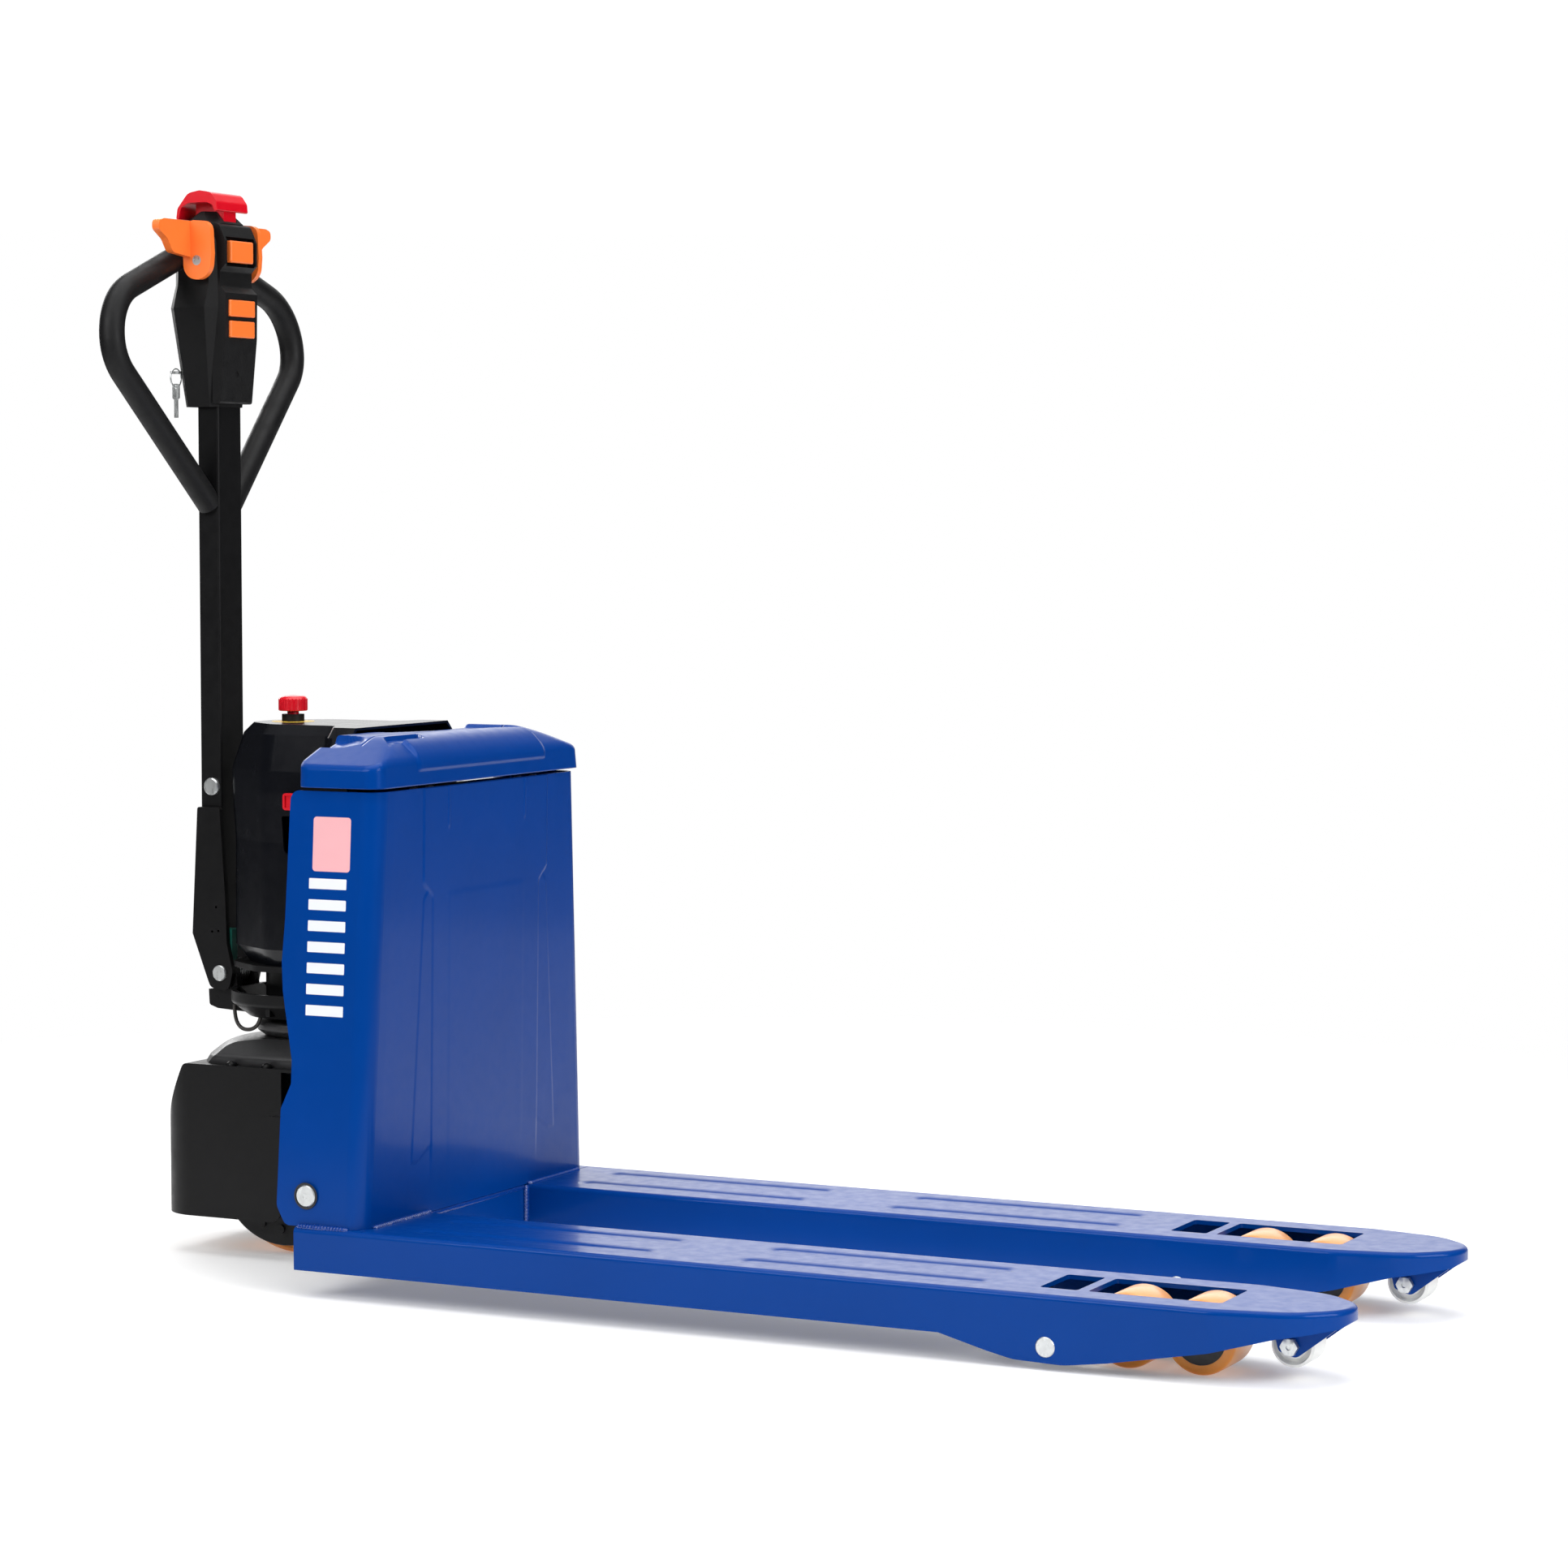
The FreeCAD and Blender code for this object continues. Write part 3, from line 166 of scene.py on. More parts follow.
def finish_of(name, colour, rough, metallic=0.0, tone=(0.08, 7.0), coat=(0.0, 0.06),
              grain=(900.0, 0.00004), wave=None, mirror=(0.5, (1.0, 1.0, 1.0))):
    """A painted, plated or moulded finish, uneven in tone and gloss.

    tone is (share, scale), coat is (weight, roughness), and mirror is (level, tint).
    grain and wave, the fine and the slow relief, are (scale, depth in metres) or None.
    """
    g = Graph(name)
    s = g.shader.inputs
    s["Metallic"].default_value = metallic
    s["Coat Weight"].default_value, s["Coat Roughness"].default_value = coat
    s["Specular IOR Level"].default_value = mirror[0]
    s["Specular Tint"].default_value = (*mirror[1], 1.0)
    share, scale = tone
    tones = g.remap(g.noise(scale), 0.0, 1.0)
    g.link(g.mix(tones, shade(colour, 1 - share), shade(colour, 1 + share)), s["Base Color"])
    g.link(g.remap(g.noise(scale * 9, 5.0), rough * 0.85, rough * 1.15), s["Roughness"])
    normal = None
    if grain:
        normal = g.bump(g.noise(grain[0], 2.0, 0.6), grain[1])
    if wave:
        normal = g.bump(g.noise(wave[0], 1.0), wave[1], after=normal)
    g.link(normal, s["Normal"])
    return g


def brushed(name, colour, rough, stretch):
    """Plated or turned steel: fine lines along one way, and cloudy plating."""
    g = Graph(name)
    s = g.shader.inputs
    s["Metallic"].default_value = 0.85
    mapping = g.add("ShaderNodeMapping")
    mapping.inputs["Scale"].default_value = stretch
    g.link(g.place, mapping.inputs["Vector"])
    lines = g.add("ShaderNodeTexNoise")
    lines.inputs["Scale"].default_value = 400.0
    lines.inputs["Detail"].default_value = 4.0
    g.link(mapping.outputs["Vector"], lines.inputs["Vector"])
    clouds = g.noise(180.0, 4.0)
    g.link(g.mix(g.remap(clouds, 0.0, 1.0), shade(colour, 0.88), colour), s["Base Color"])
    g.link(g.remap(lines.outputs["Fac"], rough * 0.75, rough * 1.3), s["Roughness"])
    g.link(g.bump(lines.outputs["Fac"], 0.00003), s["Normal"])
    return g


def polyurethane(name, face, side):
    """Cast polyurethane: a pale rolling face, deeper amber sides, a little light inside."""
    g = finish_of(name, face, 0.38, tone=(0.06, 30.0), coat=(0.15, 0.06), wave=(60.0, 0.00012))
    s = g.shader.inputs
    s["Subsurface Weight"].default_value = 0.25
    s["Subsurface Radius"].default_value = (0.006, 0.003, 0.001)
    s["Subsurface Scale"].default_value = 1.0
    geometry = g.add("ShaderNodeNewGeometry")
    split = g.add("ShaderNodeSeparateXYZ")
    g.link(geometry.outputs["Normal"], split.inputs["Vector"])
    turn = g.add("ShaderNodeMath", operation="ABSOLUTE")
    g.link(split.outputs["Y"], turn.inputs[0])
    edge = g.remap(turn.outputs["Value"], 0.0, 1.0, 0.1, 0.7)
    spots = g.mix(g.remap(g.noise(45.0, 4.0), 0.0, 1.0), shade(face, 0.93), face)
    g.link(g.mix(edge, spots, side), s["Base Color"])
    return g


WHITE = (1.0, 1.0, 1.0)
FINISHES = {
    "blue_paint": dict(colour=(0.0, 0.042, 0.25), rough=0.34, tone=(0.04, 7.0), coat=(0.15, 0.1),
                       grain=None, wave=(90.0, 0.00004), mirror=(0.2, (0.15, 0.35, 1.0))),
    "black_paint": dict(colour=(0.006, 0.006, 0.0065), rough=0.4, tone=(0.12, 7.0),
                        coat=(0.04, 0.25), wave=(160.0, 0.00006), mirror=(0.14, WHITE)),
    "dark_steel": dict(colour=(0.028, 0.028, 0.03), rough=0.5, metallic=0.4, tone=(0.25, 40.0),
                       wave=(220.0, 0.00015)),
    "cast_housing": dict(colour=(0.010, 0.010, 0.011), rough=0.52, tone=(0.2, 7.0),
                         grain=(500.0, 0.0002), wave=(120.0, 0.0003), mirror=(0.25, WHITE)),
    "grey_dome": dict(colour=(0.045, 0.045, 0.047), rough=0.34, metallic=0.3, tone=(0.1, 25.0),
                      wave=(90.0, 0.0002), mirror=(0.35, WHITE)),
    "black_cover": dict(colour=(0.0035, 0.004, 0.006), rough=0.24, tone=(0.1, 7.0),
                        coat=(0.16, 0.08), grain=(700.0, 0.000006), wave=(40.0, 0.00005),
                        mirror=(0.2, WHITE)),
    "black_plastic": dict(colour=(0.007, 0.007, 0.0075), rough=0.5, tone=(0.12, 7.0),
                          grain=(700.0, 0.00012), mirror=(0.2, WHITE)),
    "red_plastic": dict(colour=(0.68, 0.0, 0.012), rough=0.34, tone=(0.05, 7.0),
                        coat=(0.2, 0.15), grain=(700.0, 0.00001)),
    "orange_plastic": dict(colour=(1.0, 0.20, 0.03), rough=0.42, tone=(0.04, 7.0),
                           coat=(0.12, 0.2), grain=(700.0, 0.00002)),
    "teal_plastic": dict(colour=(0.0, 0.10, 0.075), rough=0.5),
    "nylon": dict(colour=(0.80, 0.80, 0.77), rough=0.42, tone=(0.03, 7.0), coat=(0.1, 0.2),
                  wave=(120.0, 0.0001)),
    "cable_black": dict(colour=(0.035, 0.031, 0.028), rough=0.45, tone=(0.15, 60.0)),
    "red_cable": dict(colour=(0.55, 0.01, 0.03), rough=0.4, tone=(0.1, 60.0)),
    "battery_case": dict(colour=(0.02, 0.02, 0.023), rough=0.5, tone=(0.1, 7.0)),
}
MATERIALS = {name: finish_of(name, **looks) for name, looks in FINISHES.items()}
MATERIALS["zinc_steel"] = brushed("zinc_steel", (0.66, 0.68, 0.68), 0.32, (1.0, 1.0, 0.15))
MATERIALS["polyurethane"] = polyurethane("polyurethane", (0.88, 0.44, 0.20), (0.80, 0.28, 0.03))
WELD_PAINT = finish_of("weld_paint", (0.0, 0.04, 0.27), 0.2, tone=(0.1, 7.0), coat=(0.7, 0.05),
                       wave=(500.0, 0.0004))
WHITE_FILM = finish_of("white_film", (0.82, 0.84, 0.90), 0.35, tone=(0.02, 7.0))
PINK_FILM = finish_of("pink_film", (0.86, 0.44, 0.47), 0.35, tone=(0.02, 7.0))
YELLOW_FILM = finish_of("yellow_film", (0.75, 0.48, 0.03), 0.4, tone=(0.05, 7.0))


def dress_cad_nodes():
    """Every CAD node gets the finish of its material slot in the record."""
    slots = {row["node"]: row["material_slot"] for row in frame["record"]["subparts"]}
    for node, piece in frame["nodes"].items():
        for slot in piece.material_slots:
            slot.material = MATERIALS[slots[node]].material


# ---- mesh helpers -------------------------------------------------------------------------------
SHARP_ANGLE = math.radians(38)


def piece_of(name, points, faces, body, slot, graph=None, flat=False):
    """A mesh piece from points in metres that rides on a body and wears a slot's finish."""
    mesh = bpy.data.meshes.new(name)
    mesh.from_pydata([tuple(p) for p in points], [], faces)
    mesh.validate()
    b = bmesh.new()
    b.from_mesh(mesh)
    bmesh.ops.recalc_face_normals(b, faces=b.faces)
    b.to_mesh(mesh)
    b.free()
    mesh.materials.append((graph or MATERIALS[slot]).material)
    if not flat:
        mesh.shade_smooth()
        mesh.set_sharp_from_angle(angle=SHARP_ANGLE)
    piece = bpy.data.objects.new(name, mesh)
    bpy.context.scene.collection.objects.link(piece)
    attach(piece, body)
    return piece


def turns(count):
    """Equal steps round a full turn, in radians."""
    return [2 * math.pi * k / count for k in range(count)]


def tube_faces(rings, count, closed=True):
    """Quads between neighbouring rings of count points each, wrapping round if closed."""
    faces = []
    steps = count if closed else count - 1
    for r in range(rings - 1):
        for k in range(steps):
            n = (k + 1) % count
            faces.append((r * count + k, r * count + n, (r + 1) * count + n, (r + 1) * count + k))
    return faces


def capped_faces(rings, count):
    """A tube's quads and one flat face over each of its ends."""
    last = (rings - 1) * count
    ends = [tuple(range(count)), tuple(last + k for k in range(count))]
    return tube_faces(rings, count) + ends


def lathe(name, profile, centre, body, slot, axis="Y", graph=None):
    """A turned piece from (offset along the axle, radius) corners in millimetres."""
    segments = 96
    points = []
    for along, radius in profile:
        for a in turns(segments):
            across, up = radius * math.cos(a), radius * math.sin(a)
            local = {"Y": (across, along, up), "Z": (across, up, along)}[axis]
            points.append(centre + Vector(local) / 1000)
    faces = tube_faces(len(profile), segments)
    if profile[0] == profile[-1]:
        last = (len(profile) - 1) * segments
        faces = [tuple(i - last if i >= last else i for i in face) for face in faces]
        points = points[:last]
    return piece_of(name, points, faces, body, slot, graph)


def bead(name, start, stop, radius, out=UP):
    """A weld bead between two points: half-round, with overlapping ripples and an uneven width."""
    ripple, pitch, around = 4.0, 0.8, 14
    along = stop - start
    length = along.length * 1000
    side = along.normalized().cross(out).normalized()
    steps = max(8, int(length / pitch))
    points = []
    for i in range(steps + 1):
        s = i / steps
        phase = (s * length / ripple) % 1.0
        swell = 0.86 + 0.16 * math.sqrt(phase)
        swell *= 1 + 0.12 * noise(Vector((s * length / 14, start.x * 10, start.y * 10)))
        end = min(1.0, min(s, 1 - s) * length / radius + 0.25)
        r = radius * swell * math.sqrt(end) / 1000
        middle = start + along * s
        for a in turns(around):
            points.append(middle + side * (r * 1.25 * math.cos(a)) + out * (r * 0.8 * math.sin(a)))
    piece_of(name, points, capped_faces(steps + 1, around), "frame", "blue_paint", WELD_PAINT)


def hex_section(across, height, bore, a):
    """(radius, rise) corners of a hexagonal head or nut at one angle, from its seat inwards."""
    half, sixth = across / 2, math.pi / 3
    radius = half / math.cos((a % sixth) - sixth / 2)
    chamfer = (radius - half) * 0.6
    return [(radius, 0.0), (radius, height - chamfer), (half * 0.97, height), (bore, height),
            (bore * 0.92, height - 1.5)]


def hex_piece(name, across, height, bore, centre, way, body, slot):
    """A hexagonal nut or bolt head standing along way from its seat at centre."""
    angles = turns(72)
    turn = UP.rotation_difference(way).to_matrix()
    sections = [hex_section(across, height, bore, a) for a in angles]
    points = []
    for ring in zip(*sections):
        for a, (radius, rise) in zip(angles, ring):
            local = Vector((radius * math.cos(a), radius * math.sin(a), rise))
            points.append(centre + turn @ local / 1000)
    return piece_of(name, points, capped_faces(len(sections[0]), len(angles)), body, slot)


def cross_recess(x, y, radius):
    """Depth of a screw's cross recess, from 0 to 1."""
    depth = band(abs(x), 0, radius * 0.12, 0.12) * band(abs(y), 0, radius * 0.55, 0.2)
    depth += band(abs(y), 0, radius * 0.12, 0.12) * band(abs(x), 0, radius * 0.55, 0.2)
    return min(1.0, depth)


def dome_screw(name, radius, centre, body, slot):
    """A pan-head screw, standing up, with a cross recess pressed into its crown."""
    segments, rings = 40, 10
    points = []
    for i in range(rings):
        t = i / (rings - 1)
        r = radius * math.cos(t * math.pi / 2) if i < rings - 1 else 0.05
        for a in turns(segments):
            x, y = r * math.cos(a), r * math.sin(a)
            z = radius * 0.8 * math.sin(t * math.pi / 2) - cross_recess(x, y, radius) * radius * 0.3
            points.append(centre + Vector((x, y, z)) / 1000)
    return piece_of(name, points, capped_faces(rings, segments), body, slot)


# ---- battery lid --------------------------------------------------------------------------------
LID_FOOT = 579.0
LID_CROWN = 636.5
LID_BACK = -101.5
LID_FRONT = 10.2
LID_HALF = 235.6
LID_ROUND = 5.0
LID_CORNER = 18
LID_STEPS = (36, 162)
LID_WALL = 0.003
RIDGE_INSET = 55
END_START = 150
END_SLOPE = 0.385
NOSE_DROP = 27
RAISED_HALF = 144.0
RAISED_FOOT = 596.0
RAISED_PROUD = 1.8
SCOOP_CENTRE = (-92, -168)
SCOOP_REACH = (44, 20)
SCOOP_DEPTH = 9
NOTCH_DEPTH = 6.0
HOLLOW_DEPTH = 4.5
HOLLOW_EDGE = ((-80, -79), (13, -40), (57, -32), (107, -22), (150, -12))


def hollow_edge(y):
    """Front limit of the wide hollow in the lid's top, as an x for each y."""
    for (y0, x0), (y1, x1) in zip(HOLLOW_EDGE, HOLLOW_EDGE[1:]):
        if y <= y1:
            return x0 + (x1 - x0) * max(0.0, y - y0) / (y1 - y0)
    return HOLLOW_EDGE[-1][1]


def lid_crown(x, y):
    """Height of the lid's top without recesses: flat, with sloping ends and a rounded front."""
    ends = LID_CROWN - max(0.0, abs(y) - END_START) * END_SLOPE
    reach = max(0.0, min(1.1, (x + 44) / 53))
    raised = 1 - smooth(abs(y), RAISED_HALF - 2, RAISED_HALF + 3)
    front = LID_CROWN - NOSE_DROP * (reach ** 2.2 * (1 - raised) + reach ** 3.4 * raised)
    return min(ends, front) - 2.5 * math.exp(-abs(ends - front) / 3)


def lid_top(x, y):
    """Height of the lid's top, with a finger scoop, a slanted notch and a wide hollow."""
    height = lid_crown(x, y)
    away = math.hypot((x - SCOOP_CENTRE[0]) / SCOOP_REACH[0], (y - SCOOP_CENTRE[1]) / SCOOP_REACH[1])
    height -= SCOOP_DEPTH * (1 - smooth(away, 0.82, 1.0)) * (0.5 + 0.5 * smooth(-x, 56, 96))
    slant = y + 0.9 * (x + 22)
    height -= NOTCH_DEPTH * band(x, -30, -14, 2.5) * band(slant, -160, -92, 4)
    inside = 1 - smooth(x, hollow_edge(y) - 5, hollow_edge(y))
    height -= HOLLOW_DEPTH * inside * band(y, -62, 138, 8)
    return height


def lid_outline(inset):
    """Points round the lid at one inset: arcs at the corners, equal steps along the sides."""
    back, front, half = LID_BACK + inset, LID_FRONT - inset, LID_HALF - inset
    corner = max(1.0, LID_CORNER - inset)
    centres = ((front - corner, half - corner), (back + corner, half - corner),
               (back + corner, corner - half), (front - corner, corner - half))
    arcs = []
    for quarter, (cx, cy) in enumerate(centres):
        angles = [math.radians(90 * quarter + a) for a in range(0, 91, 9)]
        arcs.append([(cx + corner * math.cos(a), cy + corner * math.sin(a)) for a in angles])
    points = []
    for i, arc in enumerate(arcs):
        points += arc
        (x0, y0), (x1, y1) = arc[-1], arcs[(i + 1) % 4][0]
        steps = LID_STEPS[i % 2]
        points += [(x0 + (x1 - x0) * (k / steps), y0 + (y1 - y0) * (k / steps)) for k in range(1, steps)]
    return points


def lid_rings():
    """(kind, share or inset) of each ring: up the wall, over the rim and in to a ridge line."""
    rings = [("wall", k / 16) for k in range(17)]
    rings += [("rim", k / 5) for k in range(1, 6)]
    return rings + [("top", LID_ROUND + (RIDGE_INSET - LID_ROUND) * k / 28) for k in range(1, 29)]


def lid_height(kind, share, top):
    """Height of a ring's point, from the height of the lid's top above it."""
    if kind == "wall":
        return LID_FOOT + (top - LID_ROUND - LID_FOOT) * share
    if kind == "rim":
        return top - LID_ROUND * (1 - math.sin(math.radians(90 * share)))
    return top


def lid_point(x, y, z):
    """A point with the moulding's draft and the raised middle of its front face."""
    draft = 4.0 * (z - LID_FOOT) / (LID_CROWN - LID_FOOT)
    proud = RAISED_PROUD * smooth(z, RAISED_FOOT - 1.5, RAISED_FOOT + 1.5) * smooth(x, -20, 4)
    proud *= 1 - smooth(abs(y), RAISED_HALF, RAISED_HALF + 3)
    x = x - draft * (x - LID_BACK) / (LID_FRONT - LID_BACK) + proud
    return at(x, y * (1 - draft * 0.003), z)


def battery_lid():
    """The hollow lid, as rings from its lower edge to the ridge along its top."""
    rings = lid_rings()
    points = []
    for kind, share in rings:
        rim_inset = LID_ROUND * (1 - math.cos(math.radians(90 * share)))
        inset = {"wall": 0.0, "rim": rim_inset, "top": share}[kind]
        for x, y in lid_outline(inset):
            points.append(lid_point(x, y, lid_height(kind, share, lid_top(x, y))))
    faces = tube_faces(len(rings), len(points) // len(rings))
    lid = piece_of("lid_moulding", points, faces, "lid", "blue_paint")
    solid = lid.modifiers.new("wall", "SOLIDIFY")
    solid.thickness = LID_WALL
    solid.offset = -1.0
    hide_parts("battery_lid")


# ---- battery box --------------------------------------------------------------------------------
PRESS_CENTRE = 11.5
PRESS_EDGE = 1.4
PANEL_ROWS = 260
PANEL_COLUMNS = 301
PANEL_MARGIN = 24
SHAFT_X = -74
SHAFT_Z = 115


def front_emboss(y, z):
    """How far the pressed front panel stands out, in millimetres."""
    side = abs(y - PRESS_CENTRE)
    waist = 123 + 20 * smooth(z, 447, 467)
    centre = (1 - smooth(side, waist - PRESS_EDGE, waist + PRESS_EDGE)) * smooth(z, 100, 170)
    splay = 142 + 24 * (445 - z) / 303
    foot = 143 + 0.55 * max(0.0, 152 - side)
    top = 443 + (142 - side)
    flank = (1 - smooth(side, splay - PRESS_EDGE, splay + PRESS_EDGE)) * (1 - centre)
    flank *= smooth(z, foot - 2, foot + 2) * (1 - smooth(z, top, top + 6))
    height = 0.15 + 0.55 * flank + 1.15 * centre
    height += 0.18 * centre * (1 - smooth(side, 82, 90)) * (1 - smooth(z, 446, 454))
    height += 0.55 * band(side, 86.5, 89, 1.2) * smooth(z, 524, 530)
    return height


def front_panel():
    """Skin over the front of the box, with the panel's pressed outlines."""
    start = BOX_FOOT + 5
    points = []
    for i in range(PANEL_ROWS):
        z = start + (BOX_TOP - BOX_FOOT - 6) * i / (PANEL_ROWS - 1)
        half = box_half(z) - PANEL_MARGIN
        for k in range(PANEL_COLUMNS):
            y = half * (2 * k / (PANEL_COLUMNS - 1) - 1)
            edge = min(1.0, (half - abs(y)) / 12, (z - start) / 6 + 0.2)
            points.append(at(BOX_LEAN * box_rise(z) + 0.06 + front_emboss(y, z) * edge, y, z))
    faces = tube_faces(PANEL_ROWS, PANEL_COLUMNS, closed=False)
    piece_of("front_panel_skin", points, faces, "frame", "blue_paint")


def box_welds():
    """Beads where the box stands on the forks and the cross plate, and on the forks' flanks."""
    for name, s in SIDES.items():
        bead(f"weld_front_{name}", at(1.0, s * 114, BOX_FOOT), at(1.0, s * 238, BOX_FOOT), 4.2)
        bead(f"weld_side_{name}", at(-84, s * 263.5, BOX_FOOT), at(-16, s * 262.5, BOX_FOOT), 4.4)
        bead(f"weld_inner_{name}", at(1.5, s * 111, 34), at(1.5, s * 111, 79), 4.2, FORTH)
    bead("weld_foot", at(-2.5, -112, 76), at(-2.5, 112, 76), 3.4, FORTH)


def film_outline(x, z, wide, tall, s):
    """A rounded rectangle just off a side panel, which leans in as it rises."""
    corner = min(wide, tall) * 0.08
    points = []
    for cx, cz, start in ((1, 1, 0), (-1, 1, 90), (-1, -1, 180), (1, -1, 270)):
        for a in range(0, 91, 15):
            px = x + cx * (wide / 2 - corner) + corner * math.cos(math.radians(start + a))
            pz = z + cz * (tall / 2 - corner) + corner * math.sin(math.radians(start + a))
            points.append(at(px, s * (box_half(pz) + 0.15), pz))
    return points


def side_film():
    """A generic stripe on each side panel: a plain block above seven plain bars."""
    blocks = [(-53, 515, 50, 62, PINK_FILM)]
    blocks += [(-57, 470 - 24 * i, 50, 12, WHITE_FILM) for i in range(7)]
    for name, s in SIDES.items():
        for i, (x, z, wide, tall, film) in enumerate(blocks):
            points = film_outline(x, z, wide, tall, s)
            piece_of(f"side_film_{name}_{i}", points, [tuple(range(len(points)))], "frame",
                     "blue_paint", film, flat=True)


def shaft_ends():
    """Turned end faces of the rocker shaft, with centre holes, and thin dark rings round them that are
    painted shade standing for the clearance gaps.
    """
    end = [(256, 11.6), (261.2, 12.6), (262.4, 11.4), (262.4, 3.2), (260.9, 1.6), (258.5, 1.4),
           (258.5, 0.1)]
    # ring: a thin dark annulus of painted shade, standing for the shadow in the clearance gap round each
    # shaft end
    ring = [(261.0, 12.9), (261.7, 13.0), (261.7, 15.2), (261.0, 15.4), (261.0, 12.9)]
    centre = at(SHAFT_X, 0, SHAFT_Z)
    for name, s in SIDES.items():
        lathe(f"shaft_end_{name}", [(s * y, r) for y, r in end], centre, "frame", "zinc_steel")
        # Dark ring of painted shade in the clearance gap, not a real part.
        lathe(f"shaft_gap_shade_{name}", [(s * y, r) for y, r in ring], centre, "frame", "dark_steel")


# ---- wheels -------------------------------------------------------------------------------------
LOAD_WHEEL_X = {"rear": 911, "front": 993}
LOAD_WHEEL_Z = 40
TYRE = [(-31, 29), (-31, 36.5), (-29.5, 38.8), (-27, 39.9), (0, 40), (27, 39.9), (29.5, 38.8),
        (31, 36.5), (31, 29), (-31, 29)]
HUB = [(-30.4, 17.2), (-30.4, 29.05), (30.4, 29.05), (30.4, 17.2), (28, 17.2), (26.5, 20),
       (26.5, 26), (-26.5, 26), (-26.5, 20), (-28, 17.2), (-30.4, 17.2)]
BEARING = [(-28.2, 8.1), (-28.2, 11), (-27.6, 11.4), (-27.6, 15.2), (-28.2, 15.6), (-28.2, 17.3),
           (28.2, 17.3), (28.2, 15.6), (27.6, 15.2), (27.6, 11.4), (28.2, 11), (28.2, 8.1),
           (-28.2, 8.1)]
ENTRY_X = 1090
ENTRY_Z = 39
ENTRY_FACE = 26.5
ENTRY_ACROSS = 17


def load_wheels():
    """Tandem wheels: a polyurethane tyre on a steel hub with a sealed bearing in each face."""
    for name, s in SIDES.items():
        for place, x in LOAD_WHEEL_X.items():
            body = f"load_wheel_{place}_{name}"
            centre = at(x, s * FORK_CENTRE, LOAD_WHEEL_Z)
            shown = lathe(f"{body}_tyre", TYRE, centre, body, "polyurethane")
            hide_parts(body)
            lathe(f"{body}_hub", HUB, centre, body, "dark_steel")
            lathe(f"{body}_bearing", BEARING, centre, body, "zinc_steel")


def entry_hardware():
    """Hexagon bolts and nuts of the entry rollers."""
    face = ENTRY_FACE
    profile = [(-face - 2, 4.95), (face + 9.6, 4.95), (face + 10, 4.4), (face + 10, 0.1)]
    shown = None
    for name, s in SIDES.items():
        y = s * FORK_CENTRE
        shank = lathe(f"entry_bolt_{name}", profile, at(ENTRY_X, y, ENTRY_Z), "frame", "zinc_steel")
        shown = shown or shank
        hex_piece(f"entry_bolt_head_{name}", ENTRY_ACROSS, 6.6, 3.0,
                  at(ENTRY_X, y - face - 0.4, ENTRY_Z), Vector((0, -1, 0)), "frame", "zinc_steel")
        hex_piece(f"entry_nut_{name}", ENTRY_ACROSS, 7.6, 5.0,
                  at(ENTRY_X, y + face + 0.4, ENTRY_Z), Vector((0, 1, 0)), "frame", "zinc_steel")
    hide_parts("entry_bolts")


# ---- power unit and steered unit ----------------------------------------------------------------
GUARD_SCREWS = (-286, -236, -190)
GUARD_SCREW_Y = 93
GUARD_SCREW_RADIUS = 7.2
GUARD_TOP = 232
ESTOP_X = -256
COVER_TOP = 640
LABEL = [(0.15, 14.2), (0.35, 14.4), (0.35, 25.6), (0.15, 25.8)]
CABLE_RADIUS = 0.0023
CABLE_ROUTE = ((-303.5, -60, 301), (-303.5, -60, 285), (-295, -60, 272), (-280, -60, 271),
               (-268, -61, 279), (-266, -61, 288))


def guard_screws():
    """Black round-head screws along the guard's top flange."""
    shown = None
    for side in (1, -1):
        for i, x in enumerate(GUARD_SCREWS):
            screw = dome_screw(f"guard_screw_{i}_{side + 1}", GUARD_SCREW_RADIUS,
                               at(x, side * GUARD_SCREW_Y, GUARD_TOP), "steering", "black_paint")
            shown = shown or screw
    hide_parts("guard_bolts")


def estop_label():
    """A plain yellow ring round the emergency stop, on top of the cover."""
    lathe("estop_label", LABEL, at(ESTOP_X, 0, COVER_TOP), "drive_base", "black_cover", "Z",
          graph=YELLOW_FILM)


def steering_cable():
    """The motor cable's hanging loop, smooth along its route."""
    curve = bpy.data.curves.new("motor_cable", "CURVE")
    curve.dimensions = "3D"
    curve.bevel_depth = CABLE_RADIUS
    curve.bevel_resolution = 6
    spline = curve.splines.new("NURBS")
    spline.points.add(len(CABLE_ROUTE) - 1)
    for point, place in zip(spline.points, CABLE_ROUTE):
        point.co = (*at(*place), 1.0)
    spline.order_u = 3
    spline.use_endpoint_u = True
    spline.resolution_u = 16
    curve.materials.append(MATERIALS["cable_black"].material)
    cable = bpy.data.objects.new("motor_cable", curve)
    bpy.context.scene.collection.objects.link(cable)
    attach(cable, "steering")
    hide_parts("steering_cable")


# ---- floor, light and camera --------------------------------------------------------------------
VIEW_TURN = math.radians(26.32)
VIEW_PITCH = math.radians(90 - 3.73)
VIEW_PLACE = (2483.2, -4203.4, 889.1)
VIEW_LENS = 95.02
GLOW_WAY = Vector((-math.sin(VIEW_TURN), math.cos(VIEW_TURN), 0.06)).normalized()
FLOOR_REACH = 3.4
FLOOR_FADE = (1.1, 2.6)


def floor_mesh():
    """A flat disc in fine rings, centred under the truck."""
    rings, segments = 24, 96
    points = [(0, 0, 0)]
    for r in range(1, rings + 1):
        d = FLOOR_REACH * r / rings
        points += [(d * math.cos(a), d * math.sin(a), 0.0) for a in turns(segments)]
    faces = [(0, 1 + k, 1 + (k + 1) % segments) for k in range(segments)]
    faces += [tuple(i + 1 for i in face) for face in tube_faces(rings, segments)]
    mesh = bpy.data.meshes.new("floor")
    mesh.from_pydata(points, [], faces)
    return mesh


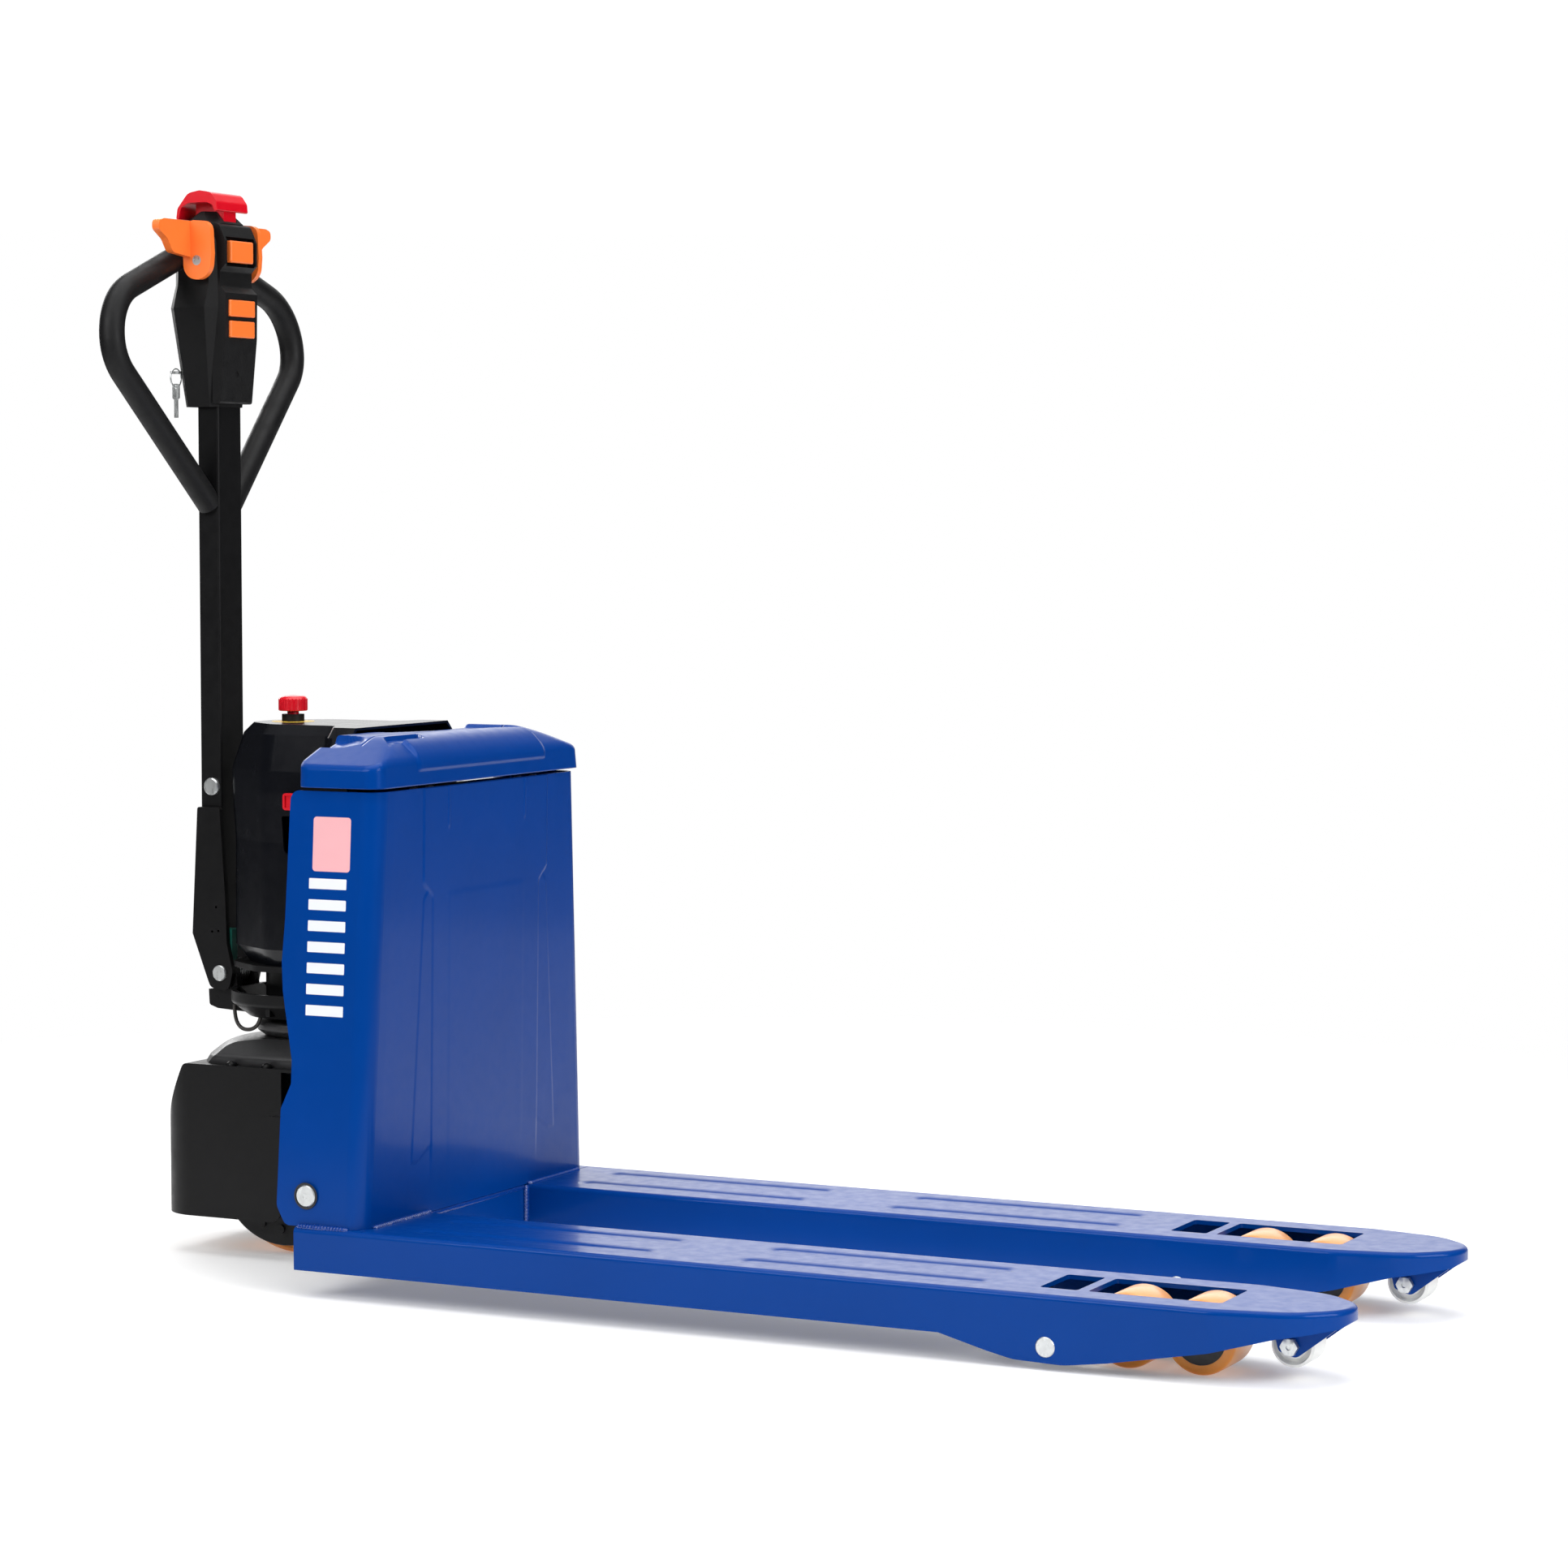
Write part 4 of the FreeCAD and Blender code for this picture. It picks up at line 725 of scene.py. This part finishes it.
def floor():
    """White studio floor: real shadows near the truck, fading into the white background."""
    mesh = floor_mesh()
    g = Graph("floor")
    s = g.shader.inputs
    s["Roughness"].default_value = 0.9
    s["Specular IOR Level"].default_value = 0.0
    s["Emission Color"].default_value = (*WHITE, 1.0)
    away = g.add("ShaderNodeVectorMath", operation="LENGTH")
    g.link(g.place, away.inputs[0])
    far = away.outputs["Value"]
    fade = g.remap(far, 0.0, 1.0, *FLOOR_FADE)
    g.link(g.mix(fade, (0.87, 0.87, 0.87), (0.0, 0.0, 0.0)), s["Base Color"])
    g.link(g.remap(far, 0.22, 1.0, *FLOOR_FADE), s["Emission Strength"])
    mesh.materials.append(g.material)
    piece = bpy.data.objects.new("floor", mesh)
    bpy.context.scene.collection.objects.link(piece)


def world_light():
    """Bright behind the truck, a little above the horizon, where its tops mirror it; else dim."""
    world = bpy.data.worlds.new("studio")
    bpy.context.scene.world = world
    world.use_nodes = True
    w = Tree(world.node_tree)
    background = w.tree.nodes["Background"]
    way = w.add("ShaderNodeTexCoord").outputs["Generated"]
    toward = w.add("ShaderNodeVectorMath", operation="DOT_PRODUCT")
    toward.inputs[1].default_value = GLOW_WAY
    w.link(way, toward.inputs[0])
    split = w.add("ShaderNodeSeparateXYZ")
    w.link(way, split.inputs["Vector"])
    step = {"interpolation_type": "SMOOTHSTEP"}
    lobe = w.remap(toward.outputs["Value"], 0.0, 1.0, 0.76, 0.97, **step)
    rise = w.remap(split.outputs["Z"], 0.2, 1.9, -0.01, 0.15, **step)
    sky = w.remap(split.outputs["Z"], 0.03, 0.35, 0.3, 0.9, **step)
    glow = w.combine("MAXIMUM", w.combine("MULTIPLY", lobe, rise), sky)
    seen = w.add("ShaderNodeLightPath").outputs["Is Camera Ray"]
    w.link(w.combine("MAXIMUM", glow, seen), background.inputs["Strength"])
    background.inputs["Color"].default_value = (*WHITE, 1.0)


def soft_light(name, place, aim, size, watts):
    data = bpy.data.lights.new(name, "AREA")
    data.shape = "RECTANGLE"
    data.size, data.size_y = size
    data.energy = watts
    lamp = bpy.data.objects.new(name, data)
    lamp.location = at(*place)
    lamp.rotation_euler = (at(*aim) - lamp.location).to_track_quat("-Z", "Y").to_euler()
    bpy.context.scene.collection.objects.link(lamp)


def lights():
    soft_light("overhead", (300, 0, 3200), (300, 0, 0), (3.6, 3.6), 95)
    soft_light("front_left", (-900, -3000, 2300), (0, 0, 400), (2.0, 1.6), 60)
    soft_light("load_side", (3600, -900, 1900), (100, 0, 350), (1.8, 1.8), 75)
    soft_light("behind", (-2600, 1800, 1800), (-150, 0, 500), (1.4, 1.4), 30)


def camera():
    data = bpy.data.cameras.new("camera")
    data.sensor_width = 36.0
    data.lens = VIEW_LENS
    view = bpy.data.objects.new("camera", data)
    view.location = at(*VIEW_PLACE)
    view.rotation_euler = (VIEW_PITCH, 0, VIEW_TURN)
    bpy.context.scene.collection.objects.link(view)
    bpy.context.scene.camera = view


dress_cad_nodes()
battery_lid()
front_panel()
box_welds()
side_film()
shaft_ends()
load_wheels()
entry_hardware()
guard_screws()
estop_label()
steering_cable()
floor()
world_light()
lights()
camera()
bpy.context.scene.view_settings.view_transform = "Standard"
